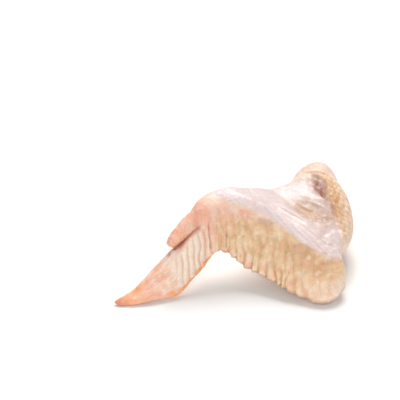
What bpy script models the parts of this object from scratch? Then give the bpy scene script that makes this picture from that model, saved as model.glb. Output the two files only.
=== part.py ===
"""Raw chicken wing, skin on: upper arm, forearm and hand in one bent piece.

The wing stands on three spots: the tip, the elbow and the shoulder end. Its skin is one closed
tube of cross sections that run from the shoulder round the elbow to the tip. Each section goes
from the leading edge over the bone line to the trailing edge and back underneath.
X runs from tip to elbow, Y from the front to the shoulder, Z up. Tables are in millimetres.
"""
import bpy
import numpy as np

MILLIMETRE = 0.001

# Cross sections from shoulder to tip: leading edge, bone line and trailing edge as points, then
# heights over and under the bone line; reach of the upper swell toward the leading and the
# trailing edge; reach of the lower swell; half thickness of the web and of the trailing skin;
# share of a plain oval on the two sides; upward bow of the web and of the trailing skin.
SECTIONS = {
    "shoulder end": ((37.5, 92.5, 28), (53, 92, 25), (67.5, 91.5, 24),
                     (19.5, 21.5), (20, 20), (20, 20), (5, 5), (1, 1), (0, 0)),
    "shoulder": ((34.5, 85, 30.5), (53, 83, 25), (70, 83, 24),
                 (18.5, 26.2), (20, 20), (20, 20), (4, 5), (1, 1), (0, 0)),
    "hollow": ((31.5, 77.5, 35), (53.5, 72, 25), (72.8, 74, 21.5),
               (16, 24.5), (26, 20), (20, 20), (2.6, 4), (0.6, 1), (0, 0)),
    "belly": ((27, 71.2, 38.3), (54, 59, 23), (74.6, 62, 16.5),
              (14, 20.5), (32, 20), (20, 20), (2.2, 3), (0, 1), (2, 0)),
    "upper arm": ((21, 66.5, 40), (55, 44, 19.5), (71.5, 48, 11.5),
                  (12, 17.5), (38, 20), (18, 20), (2, 3), (0, 1), (3, 0)),
    "elbow outer": ((15, 63, 42.5), (55, 31, 17.5), (66.8, 31, 10),
                    (10.5, 15.5), (44, 20), (17, 18), (2, 4), (0, 0.9), (4, 0)),
    "elbow": ((10, 60.3, 44.5), (53.5, 23, 16), (67.5, 11.5, 6),
              (9.5, 13.5), (45, 22), (16, 18), (2, 5.2), (0, 0.7), (4, 0)),
    "elbow front": ((5.5, 57.7, 46), (46, 25, 19), (57.5, -0.8, 1.2),
                    (8.5, 12.5), (50, 26), (16, 18), (2, 5), (0, 0.45), (4, 1)),
    "apron inner": ((2, 55.5, 47.5), (37, 31, 24.5), (41, 2.6, 2.7),
                    (8, 12), (46, 28), (15, 18), (2, 3.4), (0, 0.25), (4, 1.5)),
    "apron middle": ((-2, 53, 49), (24, 37.5, 32.5), (23, 13.5, 7.4),
                     (7.5, 12), (38, 30), (14, 18), (2, 2.8), (0, 0.1), (4, 2)),
    "apron outer": ((-7, 50.5, 50), (5.5, 41, 38.5), (5, 24.5, 13.5),
                    (7, 11.5), (23, 28), (12, 16), (2.2, 2.6), (0, 0.1), (2, 1.5)),
    "apron end": ((-12, 47, 50), (-7, 40, 40.5), (-6.2, 28.5, 19.6),
                  (6.5, 10.5), (13, 24), (10, 14), (2.6, 2.5), (0.1, 0.1), (0, 0.5)),
    "wrist": ((-18.5, 43, 47), (-15, 36, 38), (-10.7, 28, 18.8),
              (6, 10), (10, 20), (9, 12), (3.5, 2.5), (0.3, 0.1), (0, 0)),
    "hand base": ((-22.5, 36.5, 42), (-20.5, 31, 32), (-14.4, 26, 15.1),
                  (5, 7), (9, 16), (9, 11), (3.4, 2.6), (0.3, 0.1), (0, 0)),
    "palm upper": ((-28, 31, 35.5), (-26, 25.5, 27), (-19.4, 21, 10),
                   (4.2, 5), (9, 14), (8, 10), (3, 2.7), (0.3, 0.1), (0, 0)),
    "palm middle": ((-34, 25.5, 28), (-32, 20.5, 20.5), (-26, 14.5, 5.6),
                    (3.8, 4), (8, 12), (7, 9), (2.8, 2.6), (0.3, 0.1), (0, 0)),
    "palm lower": ((-42, 20, 19.7), (-39.5, 15, 13), (-33, 7, 1.6),
                   (3.4, 3.4), (8, 11), (6, 8), (2.5, 2.4), (0.3, 0.2), (0, 0)),
    "finger upper": ((-51, 13.2, 12.6), (-48, 9.5, 7.8), (-43.8, 2.5, 1.7),
                     (2.9, 3), (7, 9), (6, 7), (2.3, 2.1), (0.4, 0.4), (0, 0)),
    "finger": ((-59.4, 6.6, 6.2), (-57, 4.2, 3.6), (-54, -0.8, 1.2),
               (2.3, 2.4), (6, 6), (5, 5), (2, 1.8), (0.7, 0.7), (0, 0)),
    "tip": ((-67.3, 2.4, 2.4), (-65.8, 0.8, 1.2), (-63.8, -2, 0.4),
            (1.7, 1.7), (4, 4), (4, 4), (1.7, 1.6), (1, 1), (0, 0)),
}

# Stations between one section and the next, and points across a section on each side.
STATIONS = (4, 6, 7, 7, 6, 8, 13, 13, 16, 16, 10, 4, 5, 7, 8, 9, 7, 4, 3)
WEB_POINTS, LIMB_POINTS, TRAIL_POINTS = 4, 5, 9
CAP_RINGS = 5

# How the three lines share in the spacing of the sections, and the smoothness of a section;
# the last two are distances along the limb over which directions are evened out.
LINE_SHARES = (0.25, 0.40, 0.35)
HANDLE_SHARE = 0.42
UPPER_POWER, LOWER_POWER = 1.6, 1.15
RIM_ROUNDING = 1.1
BASE_LIMITS = (0.15, 0.85)
DIRECTION_REACH, LIFT_REACH = 6, 10

# Closing domes at the shoulder and at the tip: how far and in what direction they bulge.
SHOULDER_DOME = (-0.5, 14.5, -1.0)
SHOULDER_CENTRE_SHARE = 0.6
TIP_DOME = (-5.0, -1.5, -0.8)

# Feather ridges along the trailing skin of the forearm and across the hand. The fades are the
# lengths over which they grow and die out along the limb; the shares are the place across where
# they start and the share they need to grow.
APRON_PITCH, APRON_RIDGE = 4.8, 0.75
APRON_FADES, APRON_SHARES = (14, 8), (0.1, 0.45)
QUILL_PITCH, QUILL_RIDGE, QUILL_LEAN = 5.3, 0.6, 0.75
QUILL_FADES, QUILL_SHARES = (8, 26), (-0.1, 0.5)
SCALLOP, SCALLOP_REACH = 0.45, 4
RIDGE_AT_RIM, RIDGE_RIM_REACH = 0.35, 2
UNDERSIDE_SHARE = 0.6

# Raised strip of coarse skin along the upper arm: its inner border as (distance from the
# shoulder section, share of the way from the bone line to the edge).
STRIP_BORDER = ((7, 0.14), (16, 0.0), (25, -0.04), (33, 0.14), (42, 0.23), (56, 0.46))
STRIP_HEIGHT, STRIP_SLOPE, STRIP_ENDS, STRIP_RIM = 1.7, 0.13, 8, 0.3

# Single swells and hollows of the upper skin: distance along, share across, their two radii,
# and height.
SWELLS = {
    "shoulder knob": (14.5, -0.68, 4.0, 0.20, 2.0),
    "shoulder hollow": (20.5, -0.24, 5.0, 0.13, -3.2),
    "muscle lump": (30.0, -0.20, 3.2, 0.20, 1.6),
    "web hollow": (52.0, -0.45, 9.0, 0.25, -1.2),
    "elbow lump": (76.0, 0.72, 9.0, 0.22, 1.2),
}

# Creases of the skin: distance along at the bone line, shift over the trailing half, first and
# last share across, half width and depth.
CREASES = {
    "shoulder fold": (9.6, 2.5, -0.72, 0.42, 1.6, 1.5),
    "wrist fold": (145.0, 3.3, -0.05, 0.85, 1.2, 1.5),
    "apron fold": (133.7, 0.3, 0.40, 0.95, 1.1, 0.9),
}
CREASE_FADE = 0.15

# Thumb: points of its middle line with half width and half thickness.
THUMB_LINE = ((-5, 43, 43), (-13.5, 39.5, 41.3), (-21.3, 34.6, 39.4), (-28.5, 29.5, 35.4),
              (-34.2, 25, 31), (-37.6, 22.3, 28.4))
THUMB_HALVES = ((4, 3.5), (5.6, 4.8), (5.8, 4.9), (5.1, 4.3), (4.3, 3.5), (2.9, 2.2))
THUMB_FACING = (0.35, -0.8, 0.3)
THUMB_STATIONS, THUMB_POINTS = 15, 16
THUMB_DOMES = (3.0, 2.2)

# Lowest skin is pressed flat on the ground to this depth.
PRESSED_DEPTH = 0.35

SKIN_COLOUR = (0.80, 0.56, 0.40, 1.0)
SKIN_ROUGHNESS = 0.45


def unit(vectors):
    """Vectors scaled to length one."""
    return vectors / np.linalg.norm(vectors, axis=-1, keepdims=True)


def smooth(share):
    """Step that rises from 0 to 1 with level ends."""
    share = np.clip(share, 0, 1)
    return share * share * (3 - 2 * share)


def soften(rows, reach):
    """Mean of each row with its neighbours up to reach away."""
    index = np.arange(len(rows))[:, None] + np.arange(-reach, reach + 1)
    return rows[np.clip(index, 0, len(rows) - 1)].mean(axis=1)


def spline(knots, values, at):
    """Natural cubic curve through the rows of values at the knots, read at the places at."""
    count = len(knots)
    gap = np.diff(knots)[:, None]
    slope = np.diff(values, axis=0) / gap
    inner = np.arange(1, count - 1)
    matrix = np.eye(count)
    matrix[inner, inner - 1] = gap[:-1, 0]
    matrix[inner, inner] = 2 * (gap[:-1, 0] + gap[1:, 0])
    matrix[inner, inner + 1] = gap[1:, 0]
    right = np.zeros_like(values)
    right[1:-1] = 6 * np.diff(slope, axis=0)
    bend = np.linalg.solve(matrix, right)
    k = np.clip(np.searchsorted(knots, at, side="right") - 1, 0, count - 2)
    t = (at - knots[k])[:, None]
    return (values[k] + t * (slope[k] - gap[k] * (2 * bend[k] + bend[k + 1]) / 6)
            + t**2 * bend[k] / 2 + t**3 * (bend[k + 1] - bend[k]) / (6 * gap[k]))


def bezier(start, leave, arrive, end, t):
    """One cubic per row from start to end, read at the row's own places t."""
    start, leave, arrive, end = (point[:, None, :] for point in (start, leave, arrive, end))
    t = t[..., None]
    return ((1 - t)**3 * start + 3 * (1 - t)**2 * t * leave
            + 3 * (1 - t) * t**2 * arrive + t**3 * end)


def length(vectors):
    """Length of each vector, kept as a column."""
    return np.linalg.norm(vectors, axis=-1, keepdims=True)


def section_rows():
    """The table as one row of numbers per section."""
    rows = [np.concatenate([np.ravel(field) for field in section]) for section in SECTIONS.values()]
    return np.array(rows, float)


def section_places(rows):
    """Distance of each section along the limb: the mean run of its three lines."""
    runs = [np.linalg.norm(np.diff(rows[:, i:i + 3], axis=0), axis=1) for i in (0, 3, 6)]
    return np.concatenate([[0], np.cumsum(np.tensordot(LINE_SHARES, runs, 1))])


def place_of(name, places):
    """Distance of the named section along the limb."""
    return places[list(SECTIONS).index(name)]


def lift_at(at, rows, places):
    """Direction square to the bone line and to the section, evened out along the limb."""
    even = np.arange(0, places[-1])
    data = spline(places, rows, even)
    lead, bone, trail = data[:, 0:3], data[:, 3:6], data[:, 6:9]
    along = soften(unit(np.gradient(bone, axis=0)), DIRECTION_REACH)
    across = unit(bone - lead) + unit(trail - bone)
    lift = soften(unit(np.cross(along, across)), LIFT_REACH)
    return unit(np.stack([np.interp(at, even, part) for part in lift.T], axis=-1))


def plain_skin(at, rows, places):
    """Middle sheet of the wing with its lift direction, and the heights above and below it.

    A section's middle line is two cubics that meet at the bone line with one direction. The
    height over it is thin + (peak - thin) * (1 - (s / reach)^2)^power, where s is the distance
    from the bone line, rounded off at the rim; the oval share turns it into
    peak * sqrt(1 - q^2), where q runs from 0 at the bone line to 1 at the edge.
    """
    data = spline(places, rows, at)
    lead, bone, trail = data[:, 0:3], data[:, 3:6], data[:, 6:9]
    (over, under, upper_lead, upper_trail, lower_lead, lower_trail, web, apron,
     oval_lead, oval_trail, bow_web, bow_apron) = data[:, 9:, None].transpose(1, 0, 2)

    to_bone, to_edge = bone - lead, trail - bone
    across = unit(unit(to_bone) + unit(to_edge))
    lift = lift_at(at, rows, places)[:, None]
    handle = HANDLE_SHARE * np.minimum(length(to_bone), length(to_edge)) * across

    base = np.clip(1 - lower_lead / length(to_bone), *BASE_LIMITS)
    web_turn = np.linspace(0, np.pi / 2, WEB_POINTS, endpoint=False)
    t_lead = np.hstack([base * (1 - np.cos(web_turn)), base + (1 - base) * np.linspace(0, 1, LIMB_POINTS)])
    t_trail = np.tile(np.sin(np.linspace(0, np.pi / 2, TRAIL_POINTS))[1:], (len(at), 1))
    web_bow = lead + to_bone / 3 + lift[:, 0] * bow_web
    apron_bow = trail - to_edge / 3 + lift[:, 0] * bow_apron
    middle = np.hstack([bezier(lead, web_bow, bone - handle, bone, t_lead),
                        bezier(bone, bone + handle, apron_bow, trail, t_trail)])

    run = np.cumsum(np.linalg.norm(np.diff(middle, axis=1), axis=2), axis=1)
    run = np.hstack([np.zeros((len(at), 1)), run])
    from_bone = run - run[:, WEB_POINTS + LIMB_POINTS - 1, None]
    to_rim = run[:, -1:] - run
    ahead = from_bone < 0
    q = np.where(ahead, -from_bone / from_bone[:, :1], from_bone / from_bone[:, -1:])
    thin = web + (apron - web) * smooth((from_bone / upper_lead + 1) / 2)
    rim = 1.0
    for distance in (run, to_rim):
        rim = rim * np.sqrt(1 - (1 - np.clip(distance / (RIM_ROUNDING * thin), 0, 1))**2)
    oval = np.clip(np.where(ahead, oval_lead, oval_trail), 0, 1)

    def height(peak, lead_reach, trail_reach, power):
        reach = np.where(ahead, lead_reach, trail_reach)
        swell = np.clip(1 - (from_bone / reach)**2, 0, 1)**power
        flat = (thin + (peak - thin) * swell) * rim
        return flat + (peak * np.sqrt(np.clip(1 - q**2, 0, 1)) - flat) * oval

    above = height(over, upper_lead, upper_trail, UPPER_POWER)
    below = height(under, lower_lead, lower_trail, LOWER_POWER)
    tangent = unit(np.gradient(middle, axis=1))
    normal = unit(lift - np.sum(lift * tangent, axis=-1, keepdims=True) * tangent)
    edge_run = np.concatenate([[0], np.cumsum(np.linalg.norm(np.diff(trail, axis=0), axis=1))])
    return middle, normal, tangent, above, below, q, to_rim, edge_run[:, None]


def feather_ridges(at, places, q, to_rim, edge_run):
    """Rounded ridges |cos| with narrow valleys, on the forearm's trailing skin and the hand."""
    def patch(first, last, fades, shares):
        grown = smooth((at - place_of(first, places)) / fades[0])
        left = smooth((place_of(last, places) - at) / fades[1])
        return grown * left * smooth((q - shares[0]) / shares[1])

    on_apron = patch("elbow", "wrist", APRON_FADES, APRON_SHARES)
    on_hand = patch("wrist", "tip", QUILL_FADES, QUILL_SHARES)
    apron = np.abs(np.cos(np.pi * edge_run / APRON_PITCH)) - 0.5
    quill = np.abs(np.cos(np.pi * (edge_run + QUILL_LEAN * to_rim) / QUILL_PITCH)) - 0.5
    relief = APRON_RIDGE * on_apron * apron + QUILL_RIDGE * on_hand * quill
    scallop = SCALLOP * (on_apron * apron + on_hand * quill) * smooth(1 - to_rim / SCALLOP_REACH)
    rim = RIDGE_AT_RIM + (1 - RIDGE_AT_RIM) * smooth(to_rim / RIDGE_RIM_REACH)
    return relief * rim, scallop


def upper_relief(at, q):
    """Strip, swells and creases of the upper skin."""
    border = np.interp(at, *np.transpose(STRIP_BORDER))
    first, last = STRIP_BORDER[0][0], STRIP_BORDER[-1][0]
    relief = (STRIP_HEIGHT * smooth((q - border) / STRIP_SLOPE + 0.5) * smooth((1 - q) / STRIP_RIM)
              * smooth((at - first) / STRIP_ENDS) * smooth((last - at) / STRIP_ENDS))
    for centre, share, radius, spread, rise in SWELLS.values():
        relief = relief + rise * np.exp(-((at - centre) / radius)**2 - ((q - share) / spread)**2)
    for centre, shift, first, final, width, depth in CREASES.values():
        groove = np.exp(-((at - centre - shift * q) / width)**2)
        reach = smooth((q - first) / CREASE_FADE) * smooth((final - q) / CREASE_FADE)
        relief = relief - depth * groove * reach
    return relief


def dome(ring, centre, bulge):
    """Rings that shrink by the cosine about the centre while they move out by the sine."""
    turn = np.linspace(np.pi / 2, 0, CAP_RINGS + 1)[1:-1, None, None]
    return centre + (ring - centre) * np.cos(turn) + np.array(bulge) * np.sin(turn), centre + bulge


def tube_mesh(name, rings, first_pole, last_pole):
    """Closed mesh from rings of points and one pole at each end, in metres."""
    count, around = rings.shape[:2]
    points = np.vstack([rings.reshape(-1, 3), first_pole, last_pole]) * MILLIMETRE
    i, j = np.meshgrid(np.arange(count - 1), np.arange(around), indexing="ij")
    j_next = (j + 1) % around
    corners = [i * around + j, (i + 1) * around + j, (i + 1) * around + j_next, i * around + j_next]
    quads = np.stack(corners, axis=-1).reshape(-1, 4)
    triangles = np.vstack([quads[:, [0, 1, 2]], quads[:, [0, 2, 3]]])
    turn = np.arange(around)
    turn_next = (turn + 1) % around
    last = (count - 1) * around
    first_fan = np.stack([turn, turn_next, np.full(around, count * around)], axis=-1)
    last_fan = np.stack([last + turn_next, last + turn, np.full(around, count * around + 1)], axis=-1)
    faces = np.vstack([triangles, first_fan, last_fan])
    mesh = bpy.data.meshes.new(name)
    mesh.from_pydata(points.tolist(), [], faces.tolist())
    mesh.validate()
    made = bpy.data.objects.new(name, mesh)
    bpy.context.scene.collection.objects.link(made)
    return made


def wing_body():
    """Upper arm, web, forearm and hand as one closed skin."""
    rows = section_rows()
    places = section_places(rows)
    at = np.concatenate([np.linspace(a, b, n, endpoint=False)
                         for a, b, n in zip(places[:-1], places[1:], STATIONS)] + [places[-1:]])
    middle, normal, tangent, above, below, q, to_rim, edge_run = plain_skin(at, rows, places)
    at = at[:, None]
    ridges, scallop = feather_ridges(at, places, q, to_rim, edge_run)
    middle = middle + tangent * scallop[..., None]
    upper = middle + normal * (above + ridges + upper_relief(at, q))[..., None]
    lower = middle - normal * (below + UNDERSIDE_SHARE * ridges)[..., None]
    rings = np.concatenate([upper, lower[:, -2:0:-1]], axis=1)
    bone_point = middle[0, WEB_POINTS + LIMB_POINTS - 1]
    shoulder = rings[0].mean(axis=0) + (bone_point - rings[0].mean(axis=0)) * SHOULDER_CENTRE_SHARE
    shoulder_rings, shoulder_pole = dome(rings[0], shoulder, SHOULDER_DOME)
    tip_rings, tip_pole = dome(rings[-1], rings[-1].mean(axis=0), TIP_DOME)
    rings = np.concatenate([shoulder_rings, rings, tip_rings[::-1]])
    return tube_mesh("wing", rings, shoulder_pole, tip_pole)


def wing_thumb():
    """Short flattened finger that grows from the wrist, rooted inside it."""
    line = np.array(THUMB_LINE, float)
    knots = np.arange(len(line), dtype=float)
    at = np.linspace(0, knots[-1], THUMB_STATIONS)
    centre = spline(knots, line, at)
    halves = spline(knots, np.array(THUMB_HALVES, float), at)
    along = unit(np.gradient(centre, axis=0))
    wide = unit(np.cross(along, THUMB_FACING))[:, None]
    thick = np.cross(wide, along[:, None])
    turn = np.linspace(0, 2 * np.pi, THUMB_POINTS, endpoint=False)[None, :, None]
    rings = (centre[:, None] + wide * halves[:, None, :1] * np.cos(turn)
             - thick * halves[:, None, 1:] * np.sin(turn))
    root_rings, root_pole = dome(rings[0], centre[0], -along[0] * THUMB_DOMES[0])
    end_rings, end_pole = dome(rings[-1], centre[-1], along[-1] * THUMB_DOMES[1])
    rings = np.concatenate([root_rings, rings, end_rings[::-1]])
    return tube_mesh("thumb", rings, root_pole, end_pole)


def fuse(target, others):
    """Join the others into the target as one solid and drop them."""
    group = bpy.data.collections.new("fused")
    bpy.context.scene.collection.children.link(group)
    for other in others:
        bpy.context.scene.collection.objects.unlink(other)
        group.objects.link(other)
    union = target.modifiers.new("union", "BOOLEAN")
    union.operation = "UNION"
    union.operand_type = "COLLECTION"
    union.collection = group
    union.solver = "EXACT"
    bpy.context.view_layer.objects.active = target
    bpy.ops.object.modifier_apply(modifier=union.name)
    for other in others:
        bpy.data.objects.remove(other)
    bpy.data.collections.remove(group)


def set_down(target):
    """Press the lowest skin flat and put the origin under the middle of the wing."""
    mesh = target.data
    points = np.empty(len(mesh.vertices) * 3, np.float32)
    mesh.vertices.foreach_get("co", points)
    points = points.reshape(-1, 3).astype(float)
    ground = points[:, 2].min() + PRESSED_DEPTH * MILLIMETRE
    points[:, 2] = np.maximum(points[:, 2], ground)
    centre = (points.min(axis=0) + points.max(axis=0)) / 2
    points -= (centre[0], centre[1], ground)
    mesh.vertices.foreach_set("co", points.ravel())
    mesh.update()


def skin_material():
    """Pale raw skin."""
    material = bpy.data.materials.new("raw skin")
    material.use_nodes = True
    shader = material.node_tree.nodes["Principled BSDF"]
    shader.inputs["Base Color"].default_value = SKIN_COLOUR
    shader.inputs["Roughness"].default_value = SKIN_ROUGHNESS
    return material


def main():
    for stale in list(bpy.data.objects):
        bpy.data.objects.remove(stale)
    wing = wing_body()
    fuse(wing, [wing_thumb()])
    set_down(wing)
    wing.data.materials.clear()
    wing.data.materials.append(skin_material())


main()
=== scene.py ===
"""Raw chicken wing with its skin on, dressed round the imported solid.

The skin is one closed surface over a dense grid: a place along the limb by a place round it. The
same sections as the solid's give its form; ribs, quills, folds, follicles and wrinkles are relief
on it. Tables are in millimetres, Blender's values in metres.
"""

import bpy
import numpy as np
from bpy.props import FloatProperty, FloatVectorProperty, PointerProperty
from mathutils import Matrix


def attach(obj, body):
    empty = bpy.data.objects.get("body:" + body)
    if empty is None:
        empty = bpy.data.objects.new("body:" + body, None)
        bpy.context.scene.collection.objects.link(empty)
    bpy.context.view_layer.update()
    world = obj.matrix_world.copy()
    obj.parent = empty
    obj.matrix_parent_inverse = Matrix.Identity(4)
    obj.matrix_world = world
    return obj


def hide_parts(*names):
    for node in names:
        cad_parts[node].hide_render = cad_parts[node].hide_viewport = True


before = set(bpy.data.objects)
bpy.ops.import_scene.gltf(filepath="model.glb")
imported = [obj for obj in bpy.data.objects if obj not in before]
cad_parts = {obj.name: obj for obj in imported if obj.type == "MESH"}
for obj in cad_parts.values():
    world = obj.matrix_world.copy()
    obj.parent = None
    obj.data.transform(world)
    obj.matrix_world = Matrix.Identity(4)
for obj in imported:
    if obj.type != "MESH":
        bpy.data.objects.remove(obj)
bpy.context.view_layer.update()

bl_info = {
    "name": "Raw chicken wing",
    "version": (1, 0, 0),
    "blender": (4, 5, 0),
    "location": "View3D > Sidebar > Wing",
    "description": "Builds the skin of a whole raw chicken wing, its floor, light and camera",
    "category": "Object",
}

MILLIMETRE = 0.001

# Place of the frame's origin in the tables' coordinates.
ORIGIN = np.array([2.060, 52.023, -0.744])

# Cross sections from shoulder to tip: leading edge, bone line and trailing edge as points, then
# heights over and under the bone line; reach of the upper swell toward the leading and the
# trailing edge; reach of the lower swell; half thickness of the web and of the trailing skin;
# share of a plain oval on the two sides; upward bow of the web and of the trailing skin.
SECTIONS = {
    "shoulder end": ((37.5, 92.5, 28), (53, 92, 25), (67.5, 91.5, 24),
                     (19.5, 21.5), (20, 20), (20, 20), (5, 5), (1, 1), (0, 0)),
    "shoulder": ((34.5, 85, 30.5), (53, 83, 25), (70, 83, 24),
                 (18.5, 26.2), (20, 20), (20, 20), (4, 5), (1, 1), (0, 0)),
    "hollow": ((31.5, 77.5, 35), (53.5, 72, 25), (72.8, 74, 21.5),
               (16, 24.5), (26, 20), (20, 20), (2.6, 4), (0.6, 1), (0, 0)),
    "belly": ((27, 71.2, 38.3), (54, 59, 23), (74.6, 62, 16.5),
              (14, 20.5), (32, 20), (20, 20), (2.2, 3), (0, 1), (2, 0)),
    "upper arm": ((21, 66.5, 40), (55, 44, 19.5), (71.5, 48, 11.5),
                  (12, 17.5), (38, 20), (18, 20), (2, 3), (0, 1), (3, 0)),
    "elbow outer": ((15, 63, 42.5), (55, 31, 17.5), (66.8, 31, 10),
                    (10.5, 15.5), (44, 20), (17, 18), (2, 4), (0, 0.9), (4, 0)),
    "elbow": ((10, 60.3, 44.5), (53.5, 23, 16), (67.5, 11.5, 6),
              (9.5, 13.5), (45, 22), (16, 18), (2, 5.2), (0, 0.7), (4, 0)),
    "elbow front": ((5.5, 57.7, 46), (46, 25, 19), (57.5, -0.8, 1.2),
                    (8.5, 12.5), (50, 26), (16, 18), (2, 5), (0, 0.45), (4, 1)),
    "apron inner": ((2, 55.5, 47.5), (37, 31, 24.5), (41, 2.6, 2.7),
                    (8, 12), (46, 28), (15, 18), (2, 3.4), (0, 0.25), (4, 1.5)),
    "apron middle": ((-2, 53, 49), (24, 37.5, 32.5), (23, 13.5, 7.4),
                     (7.5, 12), (38, 30), (14, 18), (2, 2.8), (0, 0.1), (4, 2)),
    "apron outer": ((-7, 50.5, 50), (5.5, 41, 38.5), (5, 24.5, 13.5),
                    (7, 11.5), (23, 28), (12, 16), (2.2, 2.6), (0, 0.1), (2, 1.5)),
    "apron end": ((-12, 47, 50), (-7, 40, 40.5), (-6.2, 28.5, 19.6),
                  (6.5, 10.5), (13, 24), (10, 14), (2.6, 2.5), (0.1, 0.1), (0, 0.5)),
    "wrist": ((-18.5, 43, 47), (-15, 36, 38), (-10.7, 28, 18.8),
              (6, 10), (10, 20), (9, 12), (3.5, 2.5), (0.3, 0.1), (0, 0)),
    "hand base": ((-22.5, 36.5, 42), (-20.5, 31, 32), (-14.4, 26, 15.1),
                  (5, 7), (9, 16), (9, 11), (3.4, 2.6), (0.3, 0.1), (0, 0)),
    "palm upper": ((-28, 31, 35.5), (-26, 25.5, 27), (-19.4, 21, 10),
                   (4.2, 5), (9, 14), (8, 10), (3, 2.7), (0.3, 0.1), (0, 0)),
    "palm middle": ((-34, 25.5, 28), (-32, 20.5, 20.5), (-26, 14.5, 5.6),
                    (3.8, 4), (8, 12), (7, 9), (2.8, 2.6), (0.3, 0.1), (0, 0)),
    "palm lower": ((-42, 20, 19.7), (-39.5, 15, 13), (-33, 7, 1.6),
                   (3.4, 3.4), (8, 11), (6, 8), (2.5, 2.4), (0.3, 0.2), (0, 0)),
    "finger upper": ((-51, 13.2, 12.6), (-48, 9.5, 7.8), (-43.8, 2.5, 1.7),
                     (2.9, 3), (7, 9), (6, 7), (2.3, 2.1), (0.4, 0.4), (0, 0)),
    "finger": ((-59.4, 6.6, 6.2), (-57, 4.2, 3.6), (-54, -0.8, 1.2),
               (2.3, 2.4), (6, 6), (5, 5), (2, 1.8), (0.7, 0.7), (0, 0)),
    "tip": ((-67.3, 2.4, 2.4), (-65.8, 0.8, 1.2), (-63.8, -2, 0.4),
            (1.7, 1.7), (4, 4), (4, 4), (1.7, 1.6), (1, 1), (0, 0)),
}

# Stations between one section and the next, and points across a section on each side. The
# underside keeps the points near the two rims and every third one between them.
STATIONS = (20, 26, 30, 32, 32, 34, 38, 42, 50, 50, 32, 20, 24, 24, 26, 28, 26, 20, 16)
WEB_POINTS, LIMB_POINTS, TRAIL_POINTS = 26, 34, 48
UNDERSIDE_TRAIL, UNDERSIDE_LEAD, UNDERSIDE_STEP = 13, 9, 3
SHOULDER_RINGS, TIP_RINGS = 26, 8

# Shares of the leading, the bone and the trailing line in the distance along the limb.
LINE_SHARES = (0.25, 0.40, 0.35)
# Handles of a section's curves at the bone line, as a share of its shorter half.
HANDLE_SHARE = 0.42
# Powers of the swell above and below the middle, rounding of the rim in thicknesses of the skin,
# and the limits of the place where the web's points give way to the limb's.
UPPER_POWER, LOWER_POWER = 1.6, 1.15
RIM_ROUNDING = 1.1
BASE_LIMITS = (0.15, 0.85)
# Reach over which directions are evened out along the limb.
DIRECTION_REACH, LIFT_REACH = 6, 10

# Domes that close the two ends: how far they bulge, and where their centres lie.
SHOULDER_DOME = (-0.5, 14.5, -1.0)
SHOULDER_CENTRE_SHARE = 0.6
TIP_DOME = (-5.0, -1.5, -0.8)
TIP_POLE_SHARE = 0.25
# How far before the first section and past the last one the domes' rings count as lying.
SHOULDER_RUN, TIP_RUN = (16, 1), (0.5, 5)

# Raised strip of coarse skin along the upper arm: its inner border as (distance from the
# shoulder section, share of the way from the bone line to the edge).
STRIP_BORDER = ((7, 0.14), (10, -0.48), (12, -0.42), (14.5, -0.05), (16, 0.0), (25, -0.04),
                (33, 0.14), (42, 0.23), (56, 0.46))
STRIP_HEIGHT, STRIP_SLOPE, STRIP_ENDS, STRIP_RIM = 1.7, 0.13, 8, 0.3

# Single swells and hollows of the upper skin: distance along, share across, their two radii,
# and height.
SWELLS = {
    "shoulder knob": (15.0, -0.74, 3.6, 0.15, 2.6),
    "knob valley": (17.0, -0.47, 5.0, 0.08, -1.3),
    "shoulder hollow": (22.0, -0.20, 7.0, 0.17, -2.3),
    "hollow foot": (27.0, -0.08, 5.0, 0.10, -1.4),
    "muscle lump": (31.0, -0.16, 3.6, 0.20, 2.0),
    "web hollow": (49.0, -0.42, 9.0, 0.25, -1.3),
    "elbow lump": (76.0, 0.72, 9.0, 0.22, 1.2),
}

# Creases and, with a depth under zero, ridges of the skin: distance along at the bone line, shift
# over the trailing half, first and last share across, half width and depth.
CREASES = {
    "shoulder fold": (9.2, 2.5, -0.72, 0.42, 0.9, 1.1),
    "wrist fold": (145.0, 3.3, -0.05, 0.85, 0.9, 0.8),
    "apron fold": (133.7, 0.3, 0.45, 0.95, 0.9, 0.8),
    "palm fold": (150.5, 3.0, 0.30, 0.70, 0.8, 0.5),
    "wrist line": (139.5, 2.0, 0.05, 0.60, 0.8, 0.5),
    "web ridge": (57.0, -7.0, -0.75, -0.10, 1.3, -0.7),
    "web line": (63.5, -8.0, -0.70, 0.05, 1.0, -0.6),
    "lump ridge": (35.5, -2.0, -0.50, 0.00, 1.0, -0.6),
}
CREASE_FADE = 0.15

# Where the bare, lilac skin of the web ends toward the trailing edge: along, share across.
WEB_BORDER = ((10, -0.5), (15, -0.12), (25, -0.04), (33, 0.12), (42, 0.22), (50, 0.36), (56, 0.54),
              (60, 0.68), (66, 0.50), (71.4, 0.20), (81.5, 0.07), (96.7, 0.08), (106.3, -0.05),
              (120, -0.18), (131.3, -0.34), (139.3, -0.60))
# How soft the border is, how far it is shifted across and how far noise warps it.
WEB_BORDER_SOFT, WEB_BORDER_SHIFT, WEB_BORDER_WARP = 0.11, 0.02, 0.05

# The groove lies this share inside the strip's inner border, with this half width.
GROOVE_SHIFT, GROOVE_WIDTH = 0.06, 0.055

# Thumb: points of its middle line with half width and half thickness.
THUMB_LINE = ((-5, 43, 43), (-13.5, 39.5, 41.3), (-21.3, 34.6, 39.4), (-28.5, 29.5, 35.4),
              (-34.2, 25, 31), (-37.6, 22.3, 28.4))
THUMB_HALVES = ((4, 3.5), (5.6, 4.8), (5.8, 4.9), (5.1, 4.3), (4.3, 3.5), (2.9, 2.2))
THUMB_FACING = (0.35, -0.8, 0.3)
THUMB_STATIONS, THUMB_POINTS, THUMB_RINGS = 90, 80, 12
THUMB_DOMES, THUMB_STEP = (3.0, 2.2), 0.5
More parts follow.
